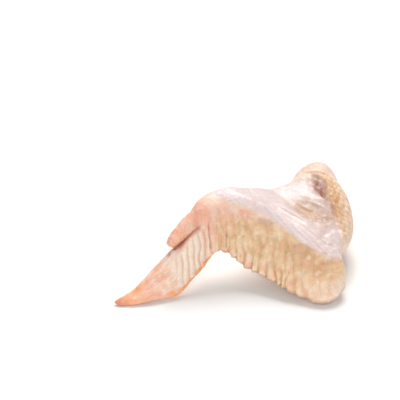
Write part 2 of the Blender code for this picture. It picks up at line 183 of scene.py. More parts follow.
# Run counted for the rings of its two domes, and the radius that its UV map is unrolled with.
THUMB_ROOT_RUN, THUMB_END_RUN, THUMB_RADIUS = -1.0, (0.2, 2), 5
# Points farther than the reach from its box count as this far away from it.
THUMB_REACH, THUMB_FAR = 15, 99.0
# The wing's points about the thumb that it is melted into: how far out, and every which one.
BASE_REACH, BASE_STEP = 22, 4
# The thumb's root melts into the wrist over this depth; over this run along it the skin that
# covers the root sinks away and the thumb lies free.
THUMB_BLEND, THUMB_FREE = 8.0, (14, 30)
# The cover rises this much over the root and sinks by the second number where the thumb is free.
# It is searched for up to a reach in a number of steps, until a little past the free run, and
# its fillet sharpens by the last number.
COVER_RISE, COVER_SINK, COVER_REACH, COVER_STEPS, COVER_PAST, COVER_SHARPENS = 0.4, 3.0, 13, 18, 4, 0.8
# The gap under the thumb: depth and reach, then where it sets in along it and ends across it.
GAP_DEPTH, GAP_REACH, GAP_START, GAP_SIDE = 2.0, 2.2, (19.5, 4), (0.4, -0.6)

# Folds of the web run straight from wrist to elbow, in this direction on the ground plane.
WEB_RUN = (0.76, -0.65)

# The camera looks at this point, in the frame's millimetres, at the photo's angle; the picture
# is 0.6 mm a pixel there over 400 pixels.
CAMERA_TARGET = (-22.0, -17.1, 52.0)
CAMERA_ELEVATION = 30.0
CAMERA_DISTANCE = 1.2
VIEW_WIDTH = 0.240
SENSOR_WIDTH = 36.0
CLIP_END = 20

FLOOR_HALF = 3.0
# Place and width of each lamp in metres; all face the same point.
LAMPS = {"overhead": ((0.12, 0.68, 1.05), 0.6), "front": ((-0.2, -1.2, 0.6), 0.8)}
LAMP_TARGET = (0, 0, 0.02)

# Values that scramble whole numbers into what looks like chance, and beads: how far one shifts in
# its cell, and the squared radius where it ends.
PRIMES, SEED_PRIME = (73856093, 19349663, 83492791), 668265263
SCRAMBLES = ((13, 1274126177), (16, 2246822519))
BEAD_SHIFT, BEAD_END = 0.36, 0.42
# The surface's seam closes over this step of the unrolled skin.
SEAM_STEP = 2


def linear(code):
    """Linear colour with alpha from an sRGB hex code."""
    part = np.array([int(code[i:i + 2], 16) for i in (1, 3, 5)]) / 255
    value = np.where(part <= 0.04045, part / 12.92, ((part + 0.055) / 1.055)**2.4)
    return (*value.tolist(), 1.0)


# Numbers


def unit(vectors):
    """Vectors scaled to length one."""
    return vectors / np.linalg.norm(vectors, axis=-1, keepdims=True)


def length(vectors):
    """Length of each vector, kept as a column."""
    return np.linalg.norm(vectors, axis=-1, keepdims=True)


def smooth(share):
    """Step that rises from 0 to 1 with level ends: s * s * (3 - 2 s)."""
    share = np.clip(share, 0, 1)
    return share * share * (3 - 2 * share)


def rise(value, start_and_run):
    """0 up to the start and 1 past the run; a run under zero leads down to smaller values."""
    start, run = start_and_run
    return smooth((value - start) / run)


def between(value, first, last, fade_in, fade_out):
    """1 from first to last, fading to 0 over the given lengths outside them."""
    return smooth((value - first) / fade_in + 1) * smooth((last - value) / fade_out + 1)


def spot(skin, at, q, radius, spread):
    """Round patch: exp of minus the squared distances along and across, in radii."""
    return np.exp(-((skin["at"] - at) / radius)**2 - ((skin["q"] - q) / spread)**2)


def scramble(corner, seed):
    """A value from -1 to 1 for each row of whole numbers, the same in every run."""
    code = np.sum(corner.astype(np.int64) * PRIMES[:corner.shape[-1]], axis=-1) + seed * SEED_PRIME
    for shift, factor in SCRAMBLES:
        code = (code ^ (code >> shift)) * factor & 0xFFFFFFFF
    return ((code >> 8) & 0xFFFF) / 32767.5 - 1


def noise(points, seed):
    """Smooth random field from -1 to 1 over points of two or three coordinates.

    Each corner of the lattice of whole numbers has a value scrambled from its place; a point
    gets the mean of its cell's corners, weighted by the quintic step of its place in the cell.
    """
    corner = np.floor(points)
    share = points - corner
    weight = share**3 * (share * (share * 6 - 15) + 10)
    total = 0
    for offset in np.ndindex(*(2,) * points.shape[-1]):
        value = scramble(corner + offset, seed)
        total = total + value * np.prod(np.where(offset, weight, 1 - weight), axis=-1)
    return total


def beads(u, v, pitch, seed):
    """Round beads from 0 to 1: one minus the squared distance to the nearest bead's middle.

    There is one bead in each cell of a square net of the pitch, shifted at random in its cell.
    """
    points = np.stack([u, v], axis=-1) / pitch
    cell = np.floor(points)
    nearest = np.full(u.shape, np.inf)
    for step in np.ndindex(3, 3):
        corner = cell + step - 1
        shift = np.stack([scramble(corner, seed), scramble(corner, seed + 1)], axis=-1)
        offset = points - corner - 0.5 - BEAD_SHIFT * shift
        nearest = np.minimum(nearest, np.sum(offset**2, axis=-1))
    return np.clip(1 - nearest / BEAD_END, 0, 1)


def soften(rows, reach):
    """Mean of each row with its neighbours up to reach away."""
    index = np.arange(len(rows))[:, None] + np.arange(-reach, reach + 1)
    return rows[np.clip(index, 0, len(rows) - 1)].mean(axis=1)


def spline(knots, values, at):
    """Natural cubic curve through the rows of values at the knots, read at the places at."""
    count = len(knots)
    gap = np.diff(knots)[:, None]
    slope = np.diff(values, axis=0) / gap
    inner = np.arange(1, count - 1)
    matrix = np.eye(count)
    matrix[inner, inner - 1] = gap[:-1, 0]
    matrix[inner, inner] = 2 * (gap[:-1, 0] + gap[1:, 0])
    matrix[inner, inner + 1] = gap[1:, 0]
    right = np.zeros_like(values)
    right[1:-1] = 6 * np.diff(slope, axis=0)
    bend = np.linalg.solve(matrix, right)
    k = np.clip(np.searchsorted(knots, at, side="right") - 1, 0, count - 2)
    t = (at - knots[k])[:, None]
    return (values[k] + t * (slope[k] - gap[k] * (2 * bend[k] + bend[k + 1]) / 6)
            + t**2 * bend[k] / 2 + t**3 * (bend[k + 1] - bend[k]) / (6 * gap[k]))


def bezier(start, leave, arrive, end, t):
    """One cubic per row from start to end, read at the row's own places t."""
    start, leave, arrive, end = (point[:, None, :] for point in (start, leave, arrive, end))
    t = t[..., None]
    return ((1 - t)**3 * start + 3 * (1 - t)**2 * t * leave
            + 3 * (1 - t) * t**2 * arrive + t**3 * end)


# Form of the wing


def section_table():
    """The sections as rows of numbers, and each one's distance along the limb.

    The distance is the mean run of the three lines, weighted by their shares.
    """
    rows = [np.concatenate([np.ravel(field) for field in section]) for section in SECTIONS.values()]
    rows = np.array(rows, float)
    runs = [np.linalg.norm(np.diff(rows[:, i:i + 3], axis=0), axis=1) for i in (0, 3, 6)]
    return rows, np.concatenate([[0], np.cumsum(np.tensordot(LINE_SHARES, runs, 1))])


SECTION_ROWS, PLACES = section_table()


def place(name):
    """Distance of the named section along the limb."""
    return PLACES[list(SECTIONS).index(name)]


def lift_at(at):
    """Direction square to the bone line and to the section, evened out along the limb."""
    even = np.arange(0, PLACES[-1])
    data = spline(PLACES, SECTION_ROWS, even)
    lead, bone, trail = data[:, 0:3], data[:, 3:6], data[:, 6:9]
    along = soften(unit(np.gradient(bone, axis=0)), DIRECTION_REACH)
    across = unit(bone - lead) + unit(trail - bone)
    lift = soften(unit(np.cross(along, across)), LIFT_REACH)
    return unit(np.stack([np.interp(at, even, part) for part in lift.T], axis=-1))


def plain_skin(at):
    """Middle sheet of the wing with its lift direction, and the heights above and below it.

    A section's middle line is two cubics that meet at the bone line with one direction. The
    height over it is thin + (peak - thin) * (1 - (s / reach)^2)^power, where s is the distance
    from the bone line, rounded off at the rim; the oval share turns it into
    peak * sqrt(1 - q^2), where q runs from 0 at the bone line to 1 at the edge.
    """
    data = spline(PLACES, SECTION_ROWS, at)
    lead, bone, trail = data[:, 0:3], data[:, 3:6], data[:, 6:9]
    (over, under, upper_lead, upper_trail, lower_lead, lower_trail, web, apron,
     oval_lead, oval_trail, bow_web, bow_apron) = data[:, 9:, None].transpose(1, 0, 2)

    to_bone, to_edge = bone - lead, trail - bone
    across = unit(unit(to_bone) + unit(to_edge))
    lift = lift_at(at)[:, None]
    handle = HANDLE_SHARE * np.minimum(length(to_bone), length(to_edge)) * across

    base = np.clip(1 - lower_lead / length(to_bone), *BASE_LIMITS)
    web_turn = np.linspace(0, np.pi / 2, WEB_POINTS, endpoint=False)
    limb = np.linspace(0, 1, LIMB_POINTS)
    t_lead = np.hstack([base * (1 - np.cos(web_turn)), base + (1 - base) * limb])
    t_trail = np.tile(np.sin(np.linspace(0, np.pi / 2, TRAIL_POINTS))[1:], (len(at), 1))
    web_bow = lead + to_bone / 3 + lift[:, 0] * bow_web
    apron_bow = trail - to_edge / 3 + lift[:, 0] * bow_apron
    middle = np.hstack([bezier(lead, web_bow, bone - handle, bone, t_lead),
                        bezier(bone, bone + handle, apron_bow, trail, t_trail)])

    run = np.cumsum(np.linalg.norm(np.diff(middle, axis=1), axis=2), axis=1)
    run = np.hstack([np.zeros((len(at), 1)), run])
    from_bone = run - run[:, WEB_POINTS + LIMB_POINTS - 1, None]
    to_rim = run[:, -1:] - run
    ahead = from_bone < 0
    q = np.where(ahead, -from_bone / from_bone[:, :1], from_bone / from_bone[:, -1:])
    thin = web + (apron - web) * smooth((from_bone / upper_lead + 1) / 2)
    rim = 1.0
    for distance in (run, to_rim):
        rim = rim * np.sqrt(1 - (1 - np.clip(distance / (RIM_ROUNDING * thin), 0, 1))**2)
    oval = np.clip(np.where(ahead, oval_lead, oval_trail), 0, 1)

    def height(peak, lead_reach, trail_reach, power):
        """Height on one side: thin skin with its swell, mixed with the plain oval."""
        reach = np.where(ahead, lead_reach, trail_reach)
        swell = np.clip(1 - (from_bone / reach)**2, 0, 1)**power
        flat = (thin + (peak - thin) * swell) * rim
        return flat + (peak * np.sqrt(np.clip(1 - q**2, 0, 1)) - flat) * oval

    above = height(over, upper_lead, upper_trail, UPPER_POWER)
    below = height(under, lower_lead, lower_trail, LOWER_POWER)
    tangent = unit(np.gradient(middle, axis=1))
    normal = unit(lift - np.sum(lift * tangent, axis=-1, keepdims=True) * tangent)
    places = {"at": np.broadcast_to(at[:, None], q.shape), "q": q, "across": from_bone,
              "from_lead": run, "to_rim": to_rim}
    return middle, normal, above, below, places


def strip_share(skin):
    """1 on the raised strip of the upper arm, 0 off it."""
    border = np.interp(skin["at"], *np.transpose(STRIP_BORDER))
    first, last = STRIP_BORDER[0][0], STRIP_BORDER[-1][0]
    return (smooth((skin["q"] - border) / STRIP_SLOPE + 0.5) * smooth((1 - skin["q"]) / STRIP_RIM)
            * smooth((skin["at"] - first) / STRIP_ENDS) * smooth((last - skin["at"]) / STRIP_ENDS))


def groove_share(skin):
    """1 along the groove at the strip's inner border, from the shoulder's knob to mid arm."""
    border = np.interp(skin["at"], *np.transpose(STRIP_BORDER))
    line = np.exp(-((skin["q"] - border + GROOVE_SHIFT) / GROOVE_WIDTH)**2)
    return line * zone(skin, "groove") * skin["top"]


def crease_share(skin, name):
    """1 along the middle of the named crease, falling as exp of minus the squared distance."""
    centre, shift, first, final, width, _ = CREASES[name]
    line = np.exp(-((skin["at"] - centre - shift * skin["q"]) / width)**2)
    reach = smooth((skin["q"] - first) / CREASE_FADE) * smooth((final - skin["q"]) / CREASE_FADE)
    return line * reach


def upper_relief(skin):
    """Strip, swells, creases and ridges of the upper skin."""
    relief = STRIP_HEIGHT * strip_share(skin)
    for centre, share, radius, spread, rise in SWELLS.values():
        relief = relief + rise * spot(skin, centre, share, radius, spread)
    for name, crease in CREASES.items():
        relief = relief - crease[-1] * crease_share(skin, name)
    return relief


def dome(ring, centre, bulge, count):
    """Rings that shrink by the cosine about the centre while they move out by the sine."""
    turn = np.linspace(np.pi / 2, 0, count + 1)[1:-1, None, None]
    return centre + (ring - centre) * np.cos(turn) + np.array(bulge) * np.sin(turn)


def wing_skin():
    """Rings of points round the wing from the shoulder dome to the tip, with their places.

    A ring is the upper skin from the leading to the trailing edge, then the underside back.
    """
    at = np.concatenate([np.linspace(a, b, n, endpoint=False)
                         for a, b, n in zip(PLACES[:-1], PLACES[1:], STATIONS)] + [PLACES[-1:]])
    middle, normal, above, below, places = plain_skin(at)
    count = middle.shape[1]
    back = np.r_[count - 2:count - UNDERSIDE_TRAIL:-1,
                 count - UNDERSIDE_TRAIL:UNDERSIDE_LEAD:-UNDERSIDE_STEP, UNDERSIDE_LEAD:0:-1]
    upper = middle + normal * (above + upper_relief(places))[..., None]
    lower = middle - normal * below[..., None]
    rings = np.concatenate([upper, lower[:, back]], axis=1)
    skin = {name: np.concatenate([part, part[:, back]], axis=1) for name, part in places.items()}
    skin["top"] = np.tile(np.r_[np.ones(count), np.zeros(len(back))], (len(at), 1))

    bone_point = middle[0, WEB_POINTS + LIMB_POINTS - 1]
    shoulder = rings[0].mean(axis=0) + (bone_point - rings[0].mean(axis=0)) * SHOULDER_CENTRE_SHARE
    first = dome(rings[0], shoulder, SHOULDER_DOME, SHOULDER_RINGS)
    last = dome(rings[-1], rings[-1].mean(axis=0), TIP_DOME, TIP_RINGS)[::-1]
    rings = np.concatenate([first, rings, last])
    before, after = len(first), len(last)
    skin = {name: np.pad(part, ((before, after), (0, 0)), mode="edge") for name, part in skin.items()}
    skin["at"][:before] -= np.linspace(*SHOULDER_RUN, before)[:, None]
    skin["at"][len(rings) - after:] += np.linspace(*TIP_RUN, after)[:, None]
    skin["point"] = rings
    tip_pole = rings[-1].mean(axis=0) + np.array(TIP_DOME) / TIP_RINGS * TIP_POLE_SHARE
    return skin, shoulder + SHOULDER_DOME, tip_pole


def thumb_line():
    """Stations along the thumb: middle, direction, half width and thickness, run from the root."""
    line = np.array(THUMB_LINE, float)
    knots = np.arange(len(line), dtype=float)
    at = np.linspace(0, knots[-1], THUMB_STATIONS)
    centre = spline(knots, line, at)
    halves = spline(knots, np.array(THUMB_HALVES, float), at)
    along = unit(np.gradient(centre, axis=0))
    wide = unit(np.cross(along, THUMB_FACING))
    thick = np.cross(wide, along)
    run = np.concatenate([[0], np.cumsum(np.linalg.norm(np.diff(centre, axis=0), axis=1))])
    return centre, along, wide, thick, halves, run


def thumb_distance(points):
    """How far points lie outside the thumb, the run of the nearest station, and the place across.

    At a station the distance is (sqrt((w / W)^2 + (t / T)^2) - 1) times the mean half, where w
    and t are the point's places across the oval and W and T the oval's halves. Beyond an end
    the length past it is added.
    """
    centre, along, wide, thick, halves, run = thumb_line()
    flat = points.reshape(-1, 3)
    distance, nearest, side = np.full(len(flat), THUMB_FAR), np.zeros(len(flat)), np.zeros(len(flat))
    low, high = centre.min(axis=0) - THUMB_REACH, centre.max(axis=0) + THUMB_REACH
    close = np.flatnonzero(np.all((flat > low) & (flat < high), axis=1))
    offset = flat[close, None] - centre
    station = np.argmin(np.sum(offset**2, axis=-1), axis=1)
    offset = offset[np.arange(len(close)), station]
    across = np.sum(offset * wide[station], axis=1) / halves[station, 0]
    through = np.sum(offset * thick[station], axis=1) / halves[station, 1]
    past = np.clip(np.abs(np.sum(offset * along[station], axis=1)) - THUMB_STEP, 0, None)
    distance[close] = (np.hypot(across, through) - 1) * halves[station].mean(axis=1) + past
    nearest[close], side[close] = run[station], across
    return tuple(part.reshape(points.shape[:-1]) for part in (distance, nearest, side))


def thumb_skin():
    """Rings of points round the thumb: ovals square to a smooth line, domed at both ends."""
    centre, along, wide, thick, halves, run = thumb_line()
    turn = np.linspace(0, 2 * np.pi, THUMB_POINTS, endpoint=False)
    oval = turn[None, :, None]
    rings = (centre[:, None] + wide[:, None] * halves[:, None, :1] * np.cos(oval)
             - thick[:, None] * halves[:, None, 1:] * np.sin(oval))
    first = dome(rings[0], centre[0], -along[0] * THUMB_DOMES[0], THUMB_RINGS)
    last = dome(rings[-1], centre[-1], along[-1] * THUMB_DOMES[1], THUMB_RINGS)[::-1]
    run = np.concatenate([np.full(len(first), THUMB_ROOT_RUN), run,
                          run[-1] + np.linspace(*THUMB_END_RUN, len(last))])
    skin = {
        "point": np.concatenate([first, rings, last]),
        "run": np.tile(run[:, None], (1, THUMB_POINTS)),
        "turn": np.tile(turn, (len(run), 1)),
    }
    return skin, centre[0] - along[0] * THUMB_DOMES[0], centre[-1] + along[-1] * THUMB_DOMES[1]


def melt(distance, run):
    """Fillet where thumb and wrist meet: (1 - d / k)^2 * k / 4 within the depth k."""
    near = np.clip(1 - np.abs(distance) / THUMB_BLEND, 0, 1)
    start, end = THUMB_FREE
    return near**2 * THUMB_BLEND / 4 * smooth((end - run) / (end - start))


def gap_share(points):
    """1 in the gap under the free part of the thumb, fading out away from it."""
    distance, run, side = thumb_distance(points)
    near = np.exp(-(np.clip(distance, 0, None) / GAP_REACH)**2)
    return near * rise(run, GAP_START) * rise(side, GAP_SIDE)


def cover(points, normals):
    """Height along the normals to which the wing's skin rises to lie over the thumb's root.

    It is the last height t at which the smooth union of t and the thumb's distance d there,
    min(t, d) - (1 - |t - d| / k)^2 * k / 4, is still negative.
    """
    height = np.zeros(points.shape[:-1])
    distance, run, _ = thumb_distance(points)
    close = (distance < COVER_REACH) & (run < THUMB_FREE[1] + COVER_PAST)
    start, direction = points[close], normals[close]
    top, before = np.zeros(len(start)), None
    step = COVER_REACH / COVER_STEPS
    for level in np.arange(COVER_STEPS + 1) * step:
        distance, run, _ = thumb_distance(start + direction * level)
        sunk = smooth((run - THUMB_FREE[0]) / (THUMB_FREE[1] - THUMB_FREE[0]))
        distance = distance - COVER_RISE + COVER_SINK * sunk
        blend = THUMB_BLEND * (1 - COVER_SHARPENS * sunk)
        fillet = np.clip(1 - np.abs(level - distance) / blend, 0, 1)**2 * blend / 4
        union = np.minimum(level, distance) - fillet
        if before is not None:
            leaves = (before < 0) & (union >= 0)
            top = np.where(leaves, level - step * union / np.maximum(union - before, 1e-6), top)
        before = union
    height[close] = top
    return height


def nearest_rows(points, base):
    """Index of the base point nearest to each point."""
    return np.array([np.argmin(np.sum((base - row[:, None])**2, axis=-1), axis=1) for row in points])


def outward(points):
    """Unit normals of a ring grid: cross product of the steps along it and round it."""
    along = np.gradient(points, axis=0)
    around = np.roll(points, -1, axis=1) - np.roll(points, 1, axis=1)
    return unit(np.cross(along, around) + 1e-9)


# Relief

# No border on this side of a zone, and no border on either side.
OPEN = np.inf
ALL = (-OPEN, OPEN, 1, 1)

# Zones of the skin: first and last distance along the limb with the fades before and after them,
# then the same for the share across.
ZONES = {
    "web": ((17, place("wrist") - 11, 8, 10), ALL),
    "apron": ((place("elbow") + 14, place("wrist") - 8, 14, 8), (0.42, OPEN, 0.40, 1)),
    "hand": ((place("wrist") + 8, place("tip") - 26, 8, 26), (0.15, OPEN, 0.5, 1)),
    "quills": ((-OPEN, 170, 1, 16), ALL),
    "groove": ((17, 34, 3, 10), ALL),
    "star folds": ((44, 62, 7, 7), (-0.34, 0.30, 0.12, 0.12)),
    "high folds": (ALL, (-0.35, OPEN, 0.3, 1)),
    "cap beads": ((-5, 3, 8, 6), ALL),
    "arm beads": ((6, 60, 8, 10), ALL),
    "upper arm beads": (ALL, (0.5, OPEN, 0.3, 1)),
    "elbow beads": ((62, 78, 6, 8), (0.1, 0.95, 0.15, 0.1)),
    "wrist lines": ((129, 149, 8, 4), (-0.15, 0.85, 0.25, 0.15)),
    "finger lines": ((178, 208, 12, 6), ALL),
    "cap": ((-OPEN, 3, 1, 6), ALL),
    "palm": ((151, 190, 8, 14), (-OPEN, 0.50, 1, 0.3)),
    "leading edge": ((168, 190, 10, 12), (-OPEN, -0.30, 1, 0.35)),
    "elbow": ((54, 86, 8, 12), (0.60, OPEN, 0.3, 1)),
    "elbow rim": (ALL, (0.82, OPEN, 0.2, 1)),
    "fat apron": ((64, 138, 6, 8), (0.16, OPEN, 0.14, 1)),
    "fat elbow": ((56, 66, 4, 4), (0.55, OPEN, 0.2, 1)),
    "outer strip": (ALL, (0.55, OPEN, 0.25, 1)),
    "lower strip": ((48, OPEN, 10, 1), ALL),
    "ridge band": ((72, 122, 10, 10), (0.06, 0.30, 0.10, 0.20)),
    "finger": ((180, 196, 8, 8), ALL),
    "wrist": ((136, 152, 9, 5), (-0.3, OPEN, 0.4, 1)),
    "blushed finger": ((190, 202, 12, 8), ALL),
    "hand rim": ((150, 180, 5, 12), (0.92, OPEN, 0.12, 1)),
    "wrinkles": ((184, 205, 8, 6), ALL),
    "tip end": ((217, OPEN, 5, 1), ALL),
}

# Round patches: strength, distance along, share across and their two radii. Those named for a
# colour area add to it.
PATCHES = {
    "elbow notch": ((3.4, 59, 1.0, 6.5, 0.4),),
    "calm web": ((0.55, 48, -0.42, 11, 0.27),),
    "fleshy web": ((0.6, 14, -0.72, 9, 0.28),),
    # The hollow's two patches are painted shade, in the deep colour.
    "hollow": ((0.80, 19.5, -0.27, 6, 0.14), (0.85, 25.5, -0.13, 6, 0.07)),
    "membrane": ((0.12, 14.5, -0.66, 6, 0.25), (0.7, 30, -0.20, 4.5, 0.22)),
    "pale": ((0.5, 76, 0.95, 6, 0.2), (-0.35, 172, 0.2, 5, 0.3)),
    # Beige: the first patch is flesh seen through the web; the second, below the muscle lump, and the
    # third, beside the shoulder knob, are painted shade.
    "beige": ((1.3, 46, -0.38, 10, 0.25), (0.6, 41, -0.06, 5, 0.12), (0.8, 15, -0.30, 5, 0.14)),
    "ochre": ((0.6, 86, 0.22, 12, 0.13), (0.4, 125, 0.12, 5, 0.1), (0.55, 82, 0.47, 8, 0.16),
              (0.40, 98, 0.45, 12, 0.14), (0.40, 67, 0.58, 8, 0.20), (0.95, 27, 0.20, 14, 0.24)),
    "blush": ((1.1, 124, 0.02, 4.0, 0.10), (0.35, 136, 0.1, 4, 0.25), (0.6, 146, 0.12, 4, 0.22)),
    "red": ((0.8, 168, -0.52, 4, 0.24), (0.7, 178, -0.80, 1.8, 0.14),
            (0.25, 184, -0.85, 8, 0.20)),
}

# Random fields over two coordinates: their wavelengths along the two, and their seeds.
FIELDS = {
    "web border": (4, 1 / 3, 5),
    "rib warp": (8, 9, 11), "thread warp": (8, 9, 18), "quill warp": (8, 9, 13),
    "rib reach": (1 / 0.73, 1 / 0.31, 14), "rib height": (1 / 0.57, 7, 17), "streaks": (1.9, 8, 16),
    "fold warp": (22, 12, 21), "broad folds": (30, 5.5, 22), "fine folds": (13, 2.6, 23),
    "star folds": (5, 4.5, 24), "finger lines": (9, 1.6, 53), "wrist lines": (2.6, 7, 54),
}

# Random fields in space: their wavelengths and seeds.
GRAINS = {
    "lumps": (8.5, 41), "fine lumps": (2.4, 42),
    "cloud": (7, 51), "specks": (2.6, 52), "blotches": (4.2, 54), "flushes": ((3.4, 3.4, 5.0), 55),
    "thumb cloud": (5, 61), "thumb specks": (1.8, 62),
    "thumb lumps": (5, 71), "thumb fine lumps": (2.0, 72),
}

# Lean and warp of the apron's ribs, of the threads between them and of the hand's quills.
RIB_RUNS = {"rib": (-0.14, 2.6), "thread": (-0.14, 2.0), "quill": (0.12, 1.0)}
# Pitch of the threads as a share of the ribs'.
THREAD_PITCH = 0.43
# The ribs reach this far up from the rim, give or take the second number, and fade over the
# third. Along X they fade toward the elbow, from a start over a run, as the bumps above them do.
RIB_REACH, RIB_SPREAD, RIB_FADE = 5.5, 5, 10
RIBS_END, BUMPS_CALM = (45, -18), (40, 10)
# Heights as shares of the panel's rib height: a rib's mean and its spread, threads, bumps and
# streaks. Where ribs are, and where the bumps are calm, these shares of the bumps are missing.
RIB_MEAN, RIB_UNEVEN, THREAD_HEIGHT, BUMP_HEIGHT, STREAK_HEIGHT = 0.9, 0.8, 0.34, 0.60, 0.12
CALM_BY_RIBS, CALM_SHARE = 0.7, 0.55
BUMP_PITCH, BUMP_STRETCH, BUMP_SLANT, BUMP_SEED, BUMP_MEAN = 4.0, 1.3, 2, 15, 0.4
# A rib, a bump or a quill lower than this is part valley and gets painted shade; a rib higher
# than the last is crest and gets a painted highlight.
RIB_VALLEY, BUMP_VALLEY, QUILL_VALLEY, RIB_CREST = 0.6, 0.5, 0.75, 0.9
# Strength of the painted shade in the valleys between bumps, quills and wrist lines.
BUMP_SHADE, QUILL_SHADE, WRIST_SHADE = 0.70, 0.55, 0.35
# Distance from the leading edge at which the quills set in, and the run over which they do.
QUILL_START = (2.5, 4)
# Share of the ribs' height on the underside, share of the relief at the very rim and its reach.
UNDER_SHARE, RIM_SHARE, RIM_REACH = 0.6, 0.35, 2
# Folds of the web: shares of the broad and of the fine ones, warp, and what is left of them
# toward the leading edge. In the star these folds lose a share and its own come up.
BROAD_SHARE, FINE_SHARE, FOLD_WARP, LOW_FOLDS = 0.62, 0.38, 1.6, 0.25
STAR_SHARE, STAR_HEIGHT, STAR_SHARPNESS, STAR_SLANT = 0.6, 0.9, 2.4, 5 / 9
# Beads of coarse skin, and their heights as shares of the panel's follicle height.
BEAD_PITCH, BEAD_SEED, BEAD_MEAN = 3.3, 31, 0.45
STRIP_BEADS, CAP_BEADS, ARM_BEADS, ELBOW_BEADS = 1.3, 0.5, 0.35, 0.3
# Heights of the groove, of the lines of wrist and finger, of the lumps all over and of the
# ragged rim within its reach, in millimetres.
GROOVE_DEPTH, WRIST_HEIGHT, FINGER_HEIGHT = 0.9, 0.34, 0.28
LUMP_HEIGHT, FINE_LUMP_HEIGHT, RAGGED_HEIGHT, RAGGED_REACH = 0.34, 0.15, 0.55, 3
THUMB_LUMPS, THUMB_FINE_LUMPS = 0.40, 0.25
# The wrist's lines: slant, sharpness and the depth at which they are full valley, in full painted
# shade.
WRIST_SLANT, WRIST_SHARPNESS, WRIST_VALLEY = 2.6, 2.2, 0.8


def field(name, u, v):
    """The named random field over two arrays of coordinates."""
    wave_u, wave_v, seed = FIELDS[name]
    return noise(np.stack([u / wave_u, v / wave_v], axis=-1), seed)


def lines(name, u, v, sharpness=2):
    """The named field as ridges: one less its size times the sharpness."""
    return 1 - sharpness * np.abs(field(name, u, v))


def grain(name, point):
    """The named random field in space."""
    wave, seed = GRAINS[name]
    return noise(point / wave, seed)


def zone(skin, name, shift=0):
    """1 in the named zone and 0 far from it; shift moves its borders across the limb."""
    along, across = ZONES[name]
    return between(skin["at"], *along) * between(skin["q"] - shift, *across)


def patches(skin, name):
    """Sum of the named round patches, each times its strength."""
    return sum(strength * spot(skin, *patch) for strength, *patch in PATCHES.get(name, ()))


def ribs(point, name, pitch):
    """Rounded ribs with narrow valleys that run down the skin: |cos| of the X over the pitch.

    X is leaned and warped by noise so that no two ribs are alike. Returns the ribs from 0 to 1
    and the number of the rib that a point lies on.
    """
    lean, warp = RIB_RUNS[name]
    run = point[..., 0] + lean * point[..., 2]
    phase = (run + warp * field(name + " warp", run, point[..., 2])) / pitch
    return np.abs(np.cos(np.pi * phase)), np.round(phase)


def quill_share(skin):
    """1 where the quill ridges of the hand show."""
    return (zone(skin, "hand") * zone(skin, "quills")
            * rise(skin["from_lead"], QUILL_START))


def web_share(skin):
    """1 on the thin skin between upper arm and forearm and on the band above the ridge."""
    border = np.interp(skin["at"], *np.transpose(WEB_BORDER)) + WEB_BORDER_SHIFT
    border = border + WEB_BORDER_WARP * field("web border", skin["at"], skin["q"])
    return smooth((border - skin["q"]) / WEB_BORDER_SOFT + 0.5) * zone(skin, "web")


def apron_relief(skin, shape):
    """Ribs and threads by the forearm's rim, bumps and streaks above them.

    Returns the height and the shares of the valleys, which get painted shade, and of the ribs'
    crests, which get a painted highlight.
    """
    x, y, z = np.moveaxis(skin["point"], -1, 0)
    apron = zone(skin, "apron")
    pitch = shape.apron_pitch / MILLIMETRE
    rib, number = ribs(skin["point"], "rib", pitch)
    thread, _ = ribs(skin["point"], "thread", pitch * THREAD_PITCH)
    reach = RIB_REACH + RIB_SPREAD * field("rib reach", number, number)
    ribbed = smooth(1 - (skin["to_rim"] - reach) / RIB_FADE) * rise(x, RIBS_END)
    uneven = RIB_MEAN + RIB_UNEVEN * field("rib height", number, skin["to_rim"])
    bump = beads(x, z / BUMP_STRETCH - y / BUMP_SLANT, BUMP_PITCH, BUMP_SEED)
    bumpy = (1 - CALM_BY_RIBS * ribbed) * (1 - CALM_SHARE * rise(x, BUMPS_CALM))

    height = ribbed * ((rib - 0.5) * uneven + THREAD_HEIGHT * (thread - 0.5))
    bumps = BUMP_HEIGHT * (bump - BUMP_MEAN) * bumpy + STREAK_HEIGHT * lines("streaks", x, z)
    height = height + bumps * rim_share(skin)
    valley = (ribbed * (1 - smooth(rib / RIB_VALLEY))
              + BUMP_SHADE * (1 - ribbed) * bumpy * (1 - smooth(bump / BUMP_VALLEY)))
    crest = ribbed * smooth(rib / RIB_CREST)
    return shape.apron_ridge / MILLIMETRE * height * apron, valley * apron, crest * apron


def quill_relief(skin, shape):
    """Quill ridges of the hand: their height and the share of the valleys between them."""
    quill, _ = ribs(skin["point"], "quill", shape.quill_pitch / MILLIMETRE)
    share = quill_share(skin)
    height = shape.quill_ridge / MILLIMETRE * share * (quill - 0.5) * rim_share(skin)
    # The valleys between the quills get painted shade.
    return height, QUILL_SHADE * share * (1 - smooth(quill / QUILL_VALLEY))


def web_relief(skin, shape):
    """Long folds of the web from wrist to elbow, and the star of folds on its lump."""
    point, at = skin["point"], skin["at"]
    run = point[..., 0] * WEB_RUN[0] + point[..., 1] * WEB_RUN[1]
    cross = point[..., 0] * WEB_RUN[1] - point[..., 1] * WEB_RUN[0]
    cross = cross + FOLD_WARP * field("fold warp", run, cross)
    long_folds = (BROAD_SHARE * lines("broad folds", run, cross)
                  + FINE_SHARE * lines("fine folds", run, cross))
    star = lines("star folds", skin["across"] + STAR_SLANT * at, at, STAR_SHARPNESS)
    starred = zone(skin, "star folds") * skin["top"]
    folds = long_folds * (1 - STAR_SHARE * starred) + STAR_HEIGHT * starred * star
    calm = LOW_FOLDS + (1 - LOW_FOLDS) * zone(skin, "high folds") - patches(skin, "calm web")
    return shape.web_fold / MILLIMETRE * web_share(skin) * calm * folds


